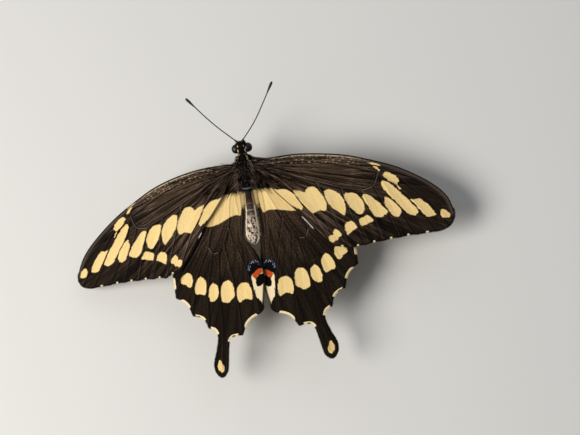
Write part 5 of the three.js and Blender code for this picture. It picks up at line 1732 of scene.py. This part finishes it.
# The camera's turn and tilts in degrees, the place of the plan it looks at, its distance and its lens.
VIEW_ANGLES = (5.57, -12.85, -13.19)
VIEW_TARGET = np.array([-12.13, 30.09, 13.5])
VIEW_DISTANCE = 600
LENS = 125.5


class BUTTERFLY_OT_stage(bpy.types.Operator):
    """Sets the floor, the soft lights and the camera"""

    bl_idname = "butterfly.stage"
    bl_label = "Stage"

    def execute(self, context):
        scene, settings = context.scene, context.scene.butterfly_stage
        half = settings.floor_size / 2
        mesh = bpy.data.meshes.new("floor")
        corners = [(-half, -half, 0), (half, -half, 0), (half, half, 0), (-half, half, 0)]
        mesh.from_pydata(corners, [], [(0, 1, 2, 3)])
        f = Finish("floor_paper", 0.9, Specular_IOR_Level=0.2)
        fibre = f.noise(f.place(), 900, 4, 0.7)
        pale = tuple(settings.floor_colour)
        colour = f.mix(fibre, tuple(c * 0.985 for c in pale), pale)
        mesh.materials.append(f.done(colour, f.bump(fibre, 0.05, 0.00005)))
        floor = linked("floor", mesh)

        middle = Vector((0, 0, 0.012))
        for name, place, size, power, colour in (
            ("key_light", (0.36, 0.12, 0.46), 0.42, settings.key_power, (1.0, 0.965, 0.91)),
            ("fill_light", (-0.35, -0.40, 0.40), 0.5, settings.fill_power, (0.92, 0.96, 1.0)),
            ("head_light", (0.15, -0.55, 0.35), 0.4, settings.fill_power * 0.7, (1.0, 1.0, 1.0)),
        ):
            data = bpy.data.lights.new(name, "AREA")
            data.shape, data.size, data.energy, data.color = "DISK", size, power, colour
            light = linked(name, data)
            light.location = place
            light.rotation_euler = (middle - light.location).to_track_quat("-Z", "Y").to_euler()
        world = scene.world = scene.world or bpy.data.worlds.new("studio")
        world.use_nodes = True
        sky = world.node_tree.nodes["Background"].inputs
        sky["Color"].default_value = (0.93, 0.95, 1.0, 1)
        sky["Strength"].default_value = 0.2

        turn, tilt_x, tilt_y = map(math.radians, VIEW_ANGLES)
        cos_x, sin_x, cos_y, sin_y = math.cos(tilt_x), math.sin(tilt_x), math.cos(tilt_y), math.sin(tilt_y)
        across = np.array([-cos_x, 0, sin_x])
        down = np.array([sin_x * sin_y, cos_y, cos_x * sin_y])
        back = np.array([sin_x * cos_y, -sin_y, cos_x * cos_y])
        right = math.cos(turn) * across + math.sin(turn) * down
        up = math.sin(turn) * across - math.cos(turn) * down
        data = bpy.data.cameras.new("camera")
        data.sensor_width, data.lens, data.clip_start, data.clip_end = 36, LENS, 0.01, 20
        scene.camera = linked("camera", data)
        matrix = np.eye(4)
        matrix[:3] = np.stack([right, up, back, in_frame(VIEW_TARGET + VIEW_DISTANCE * back)], 1)
        scene.camera.matrix_world = [list(row) for row in matrix.T]
        scene.view_settings.view_transform = "Standard"
        return {"FINISHED"}


class BUTTERFLY_OT_wings(bpy.types.Operator):
    """Builds the four wings with raised veins, marks and a scaled underside"""

    bl_idname = "butterfly.wings"
    bl_label = "Wings"

    def execute(self, context):
        step = context.scene.butterfly_wings.point_spacing / MM
        under = wing_under_finish()
        for kind in OUTLINES:
            materials = [wing_top_finish(kind == "forewing"), under]
            for side in SIDES:
                settle(wing_sheet(kind, side, step, materials), "wing_scales", f"{kind}_{side}")
        return {"FINISHED"}


class BUTTERFLY_OT_fringe(bpy.types.Operator):
    """Grows the scales along the wings' margins"""

    bl_idname = "butterfly.fringe"
    bl_label = "Wing fringe"

    def execute(self, context):
        settings = context.scene.butterfly_wings
        tree = scatter_tree("margin_scales", coat_finish("fringe_scales", 0.7, 0.15), True)
        for kind in OUTLINES:
            for side in SIDES:
                settle(fringe(kind, side, tree, settings.fringe_length, settings.fringe_width), "wing_scales")
        return {"FINISHED"}


class BUTTERFLY_OT_body(bpy.types.Operator):
    """Builds the one skin of head, neck, chest and abdomen"""

    bl_idname = "butterfly.body"
    bl_label = "Body"

    def execute(self, context):
        settle(body_skin(skin_finish()), "body_fur", "head", "prothorax", "thorax", "abdomen")
        return {"FINISHED"}


class BUTTERFLY_OT_coat(bpy.types.Operator):
    """Lays the hair on head, chest, abdomen and wing bases"""

    bl_idname = "butterfly.coat"
    bl_label = "Coat"

    def execute(self, context):
        share = context.scene.butterfly_body.hair_share
        long = context.scene.butterfly_body.chest_hair_length / MM
        wing_long = context.scene.butterfly_wings.base_hair_length / MM
        material = hair_finish()

        def out(a):
            return np.abs(np.cos(a))

        def flank(a):
            return smoothstep((out(a) - 0.35) / 0.4)

        def lay(name, slot, seed, count, *shape, **more):
            settle(coat(name, seed, int(count * share), *shape, material, **more), slot)

        lay("head_hair", "head_black", 21, 2200, 5.0, 8.7, lambda y, a: 0.95,
            lambda y, a: 0.3 + 0.35 * (y < 5.8) + 0.25 * (out(a) > 0.75), 0.045, lambda y, a: 0.5, 0.3,
            forward=True)
        lay("collar_hair", "head_black", 22, 2600, 8.1, 11.6, lambda y, a: 0.9,
            lambda y, a: 0.4 + 1.1 * flank(a), 0.05, lambda y, a: 0.3 + 0.8 * flank(a), 0.2,
            aside=0.35, contrast=0.3)
        for n, (side, sign) in enumerate(SIDES.items()):
            lay(f"chest_hair_{side}", "body_fur", 23 + n, 3800, 10.8, 19.2,
                lambda y, a: (sign * np.cos(a) > 0) * (1 - 0.8 * (y > 18.7) * (out(a) < 0.6)),
                lambda y, a: long * (0.9 + 1.6 * flank(a)), 0.065, lambda y, a: 0.22 + 0.5 * flank(a), 0.35,
                aside=0.75, contrast=2.0)
        lay("abdomen_hair", "abdomen_scales", 26, 4200, 20.2, 36.0,
            lambda y, a: np.where(np.sin(a) < -0.2, 0.8, 0.12 + 0.88 * smoothstep((out(a) - 0.7) / 0.15)),
            lambda y, a: 0.4 + 0.3 * (y < 21.5), 0.045, lambda y, a: 0.14 + 0.15 * (y > 35), 0.2)
        for n, side in enumerate(SIDES):
            for hair in (
                wing_hair(side, "forewing", 31 + n, int(800 * share), 11.0, wing_long, material),
                inner_hair(side, 35 + n, int(900 * share), material),
                wing_hair(side, "hindwing", 33 + n, int(300 * share), 3.5, wing_long * 0.8, material),
            ):
                settle(hair, "body_fur")
        return {"FINISHED"}


class BUTTERFLY_OT_head(bpy.types.Operator):
    """Builds the eyes, feelers, palps and tongue"""

    bl_idname = "butterfly.head"
    bl_label = "Eyes, feelers and mouth"

    def execute(self, context):
        eyes, horn = eye_finish(), antenna_finish()
        for side in SIDES:
            settle(eye(side, eyes), "eye", f"eye_{side}")
            settle(antenna(side, horn), "horn_black", f"antenna_{side}")
        settle(tongue(tongue_finish()), "horn_black", "proboscis")
        settle(palps(palp_finish()), "palp_cream", "palp_left", "palp_right")
        settle(palp_hair(hair_finish()), "palp_cream")
        return {"FINISHED"}


class BUTTERFLY_OT_legs(bpy.types.Operator):
    """Builds the six jointed legs and grows their bristles"""

    bl_idname = "butterfly.legs"
    bl_label = "Legs"

    def execute(self, context):
        density = context.scene.butterfly_body.bristle_density
        material = leg_finish()
        tree = scatter_tree("leg_bristles", bristle_finish(), False)
        for name in LEGS:
            for side in SIDES:
                piece, points, wrap = leg(name, side, material)
                spines = bristles(piece, f"leg_{name}_{side}_bristles", points, wrap, tree, density)
                settle(piece, "leg_dark", f"leg_{name}_{side}")
                settle(spines, "leg_dark")
        return {"FINISHED"}


class BUTTERFLY_PT_panel(bpy.types.Panel):
    """Lists the butterfly's pieces and settings"""

    bl_idname = "BUTTERFLY_PT_panel"
    bl_label = "Swallowtail butterfly"
    bl_space_type = "VIEW_3D"
    bl_region_type = "UI"
    bl_category = "Butterfly"

    def draw(self, context):
        for title, settings in (
            ("Wings", context.scene.butterfly_wings),
            ("Body", context.scene.butterfly_body),
            ("Stage", context.scene.butterfly_stage),
        ):
            box = self.layout.box()
            box.label(text=title)
            for key in settings.__annotations__:
                box.prop(settings, key)
        for operator in OPERATORS:
            self.layout.operator(operator.bl_idname)


SETTINGS = {"butterfly_wings": WingSettings, "butterfly_body": BodySettings, "butterfly_stage": StageSettings}
OPERATORS = (
    BUTTERFLY_OT_stage, BUTTERFLY_OT_body, BUTTERFLY_OT_wings, BUTTERFLY_OT_coat, BUTTERFLY_OT_head,
    BUTTERFLY_OT_legs, BUTTERFLY_OT_fringe,
)


def register():
    for cls in (*SETTINGS.values(), *OPERATORS, BUTTERFLY_PT_panel):
        bpy.utils.register_class(cls)
    for name, cls in SETTINGS.items():
        setattr(bpy.types.Scene, name, bpy.props.PointerProperty(type=cls))


def unregister():
    for name in SETTINGS:
        delattr(bpy.types.Scene, name)
    for cls in reversed((*SETTINGS.values(), *OPERATORS, BUTTERFLY_PT_panel)):
        bpy.utils.unregister_class(cls)


def main():
    register()
    bpy.ops.butterfly.stage()
    bpy.ops.butterfly.body()
    bpy.ops.butterfly.wings()
    bpy.ops.butterfly.coat()
    bpy.ops.butterfly.head()
    bpy.ops.butterfly.legs()
    bpy.ops.butterfly.fringe()
    bpy.context.view_layer.update()


if __name__ == "__main__":
    main()
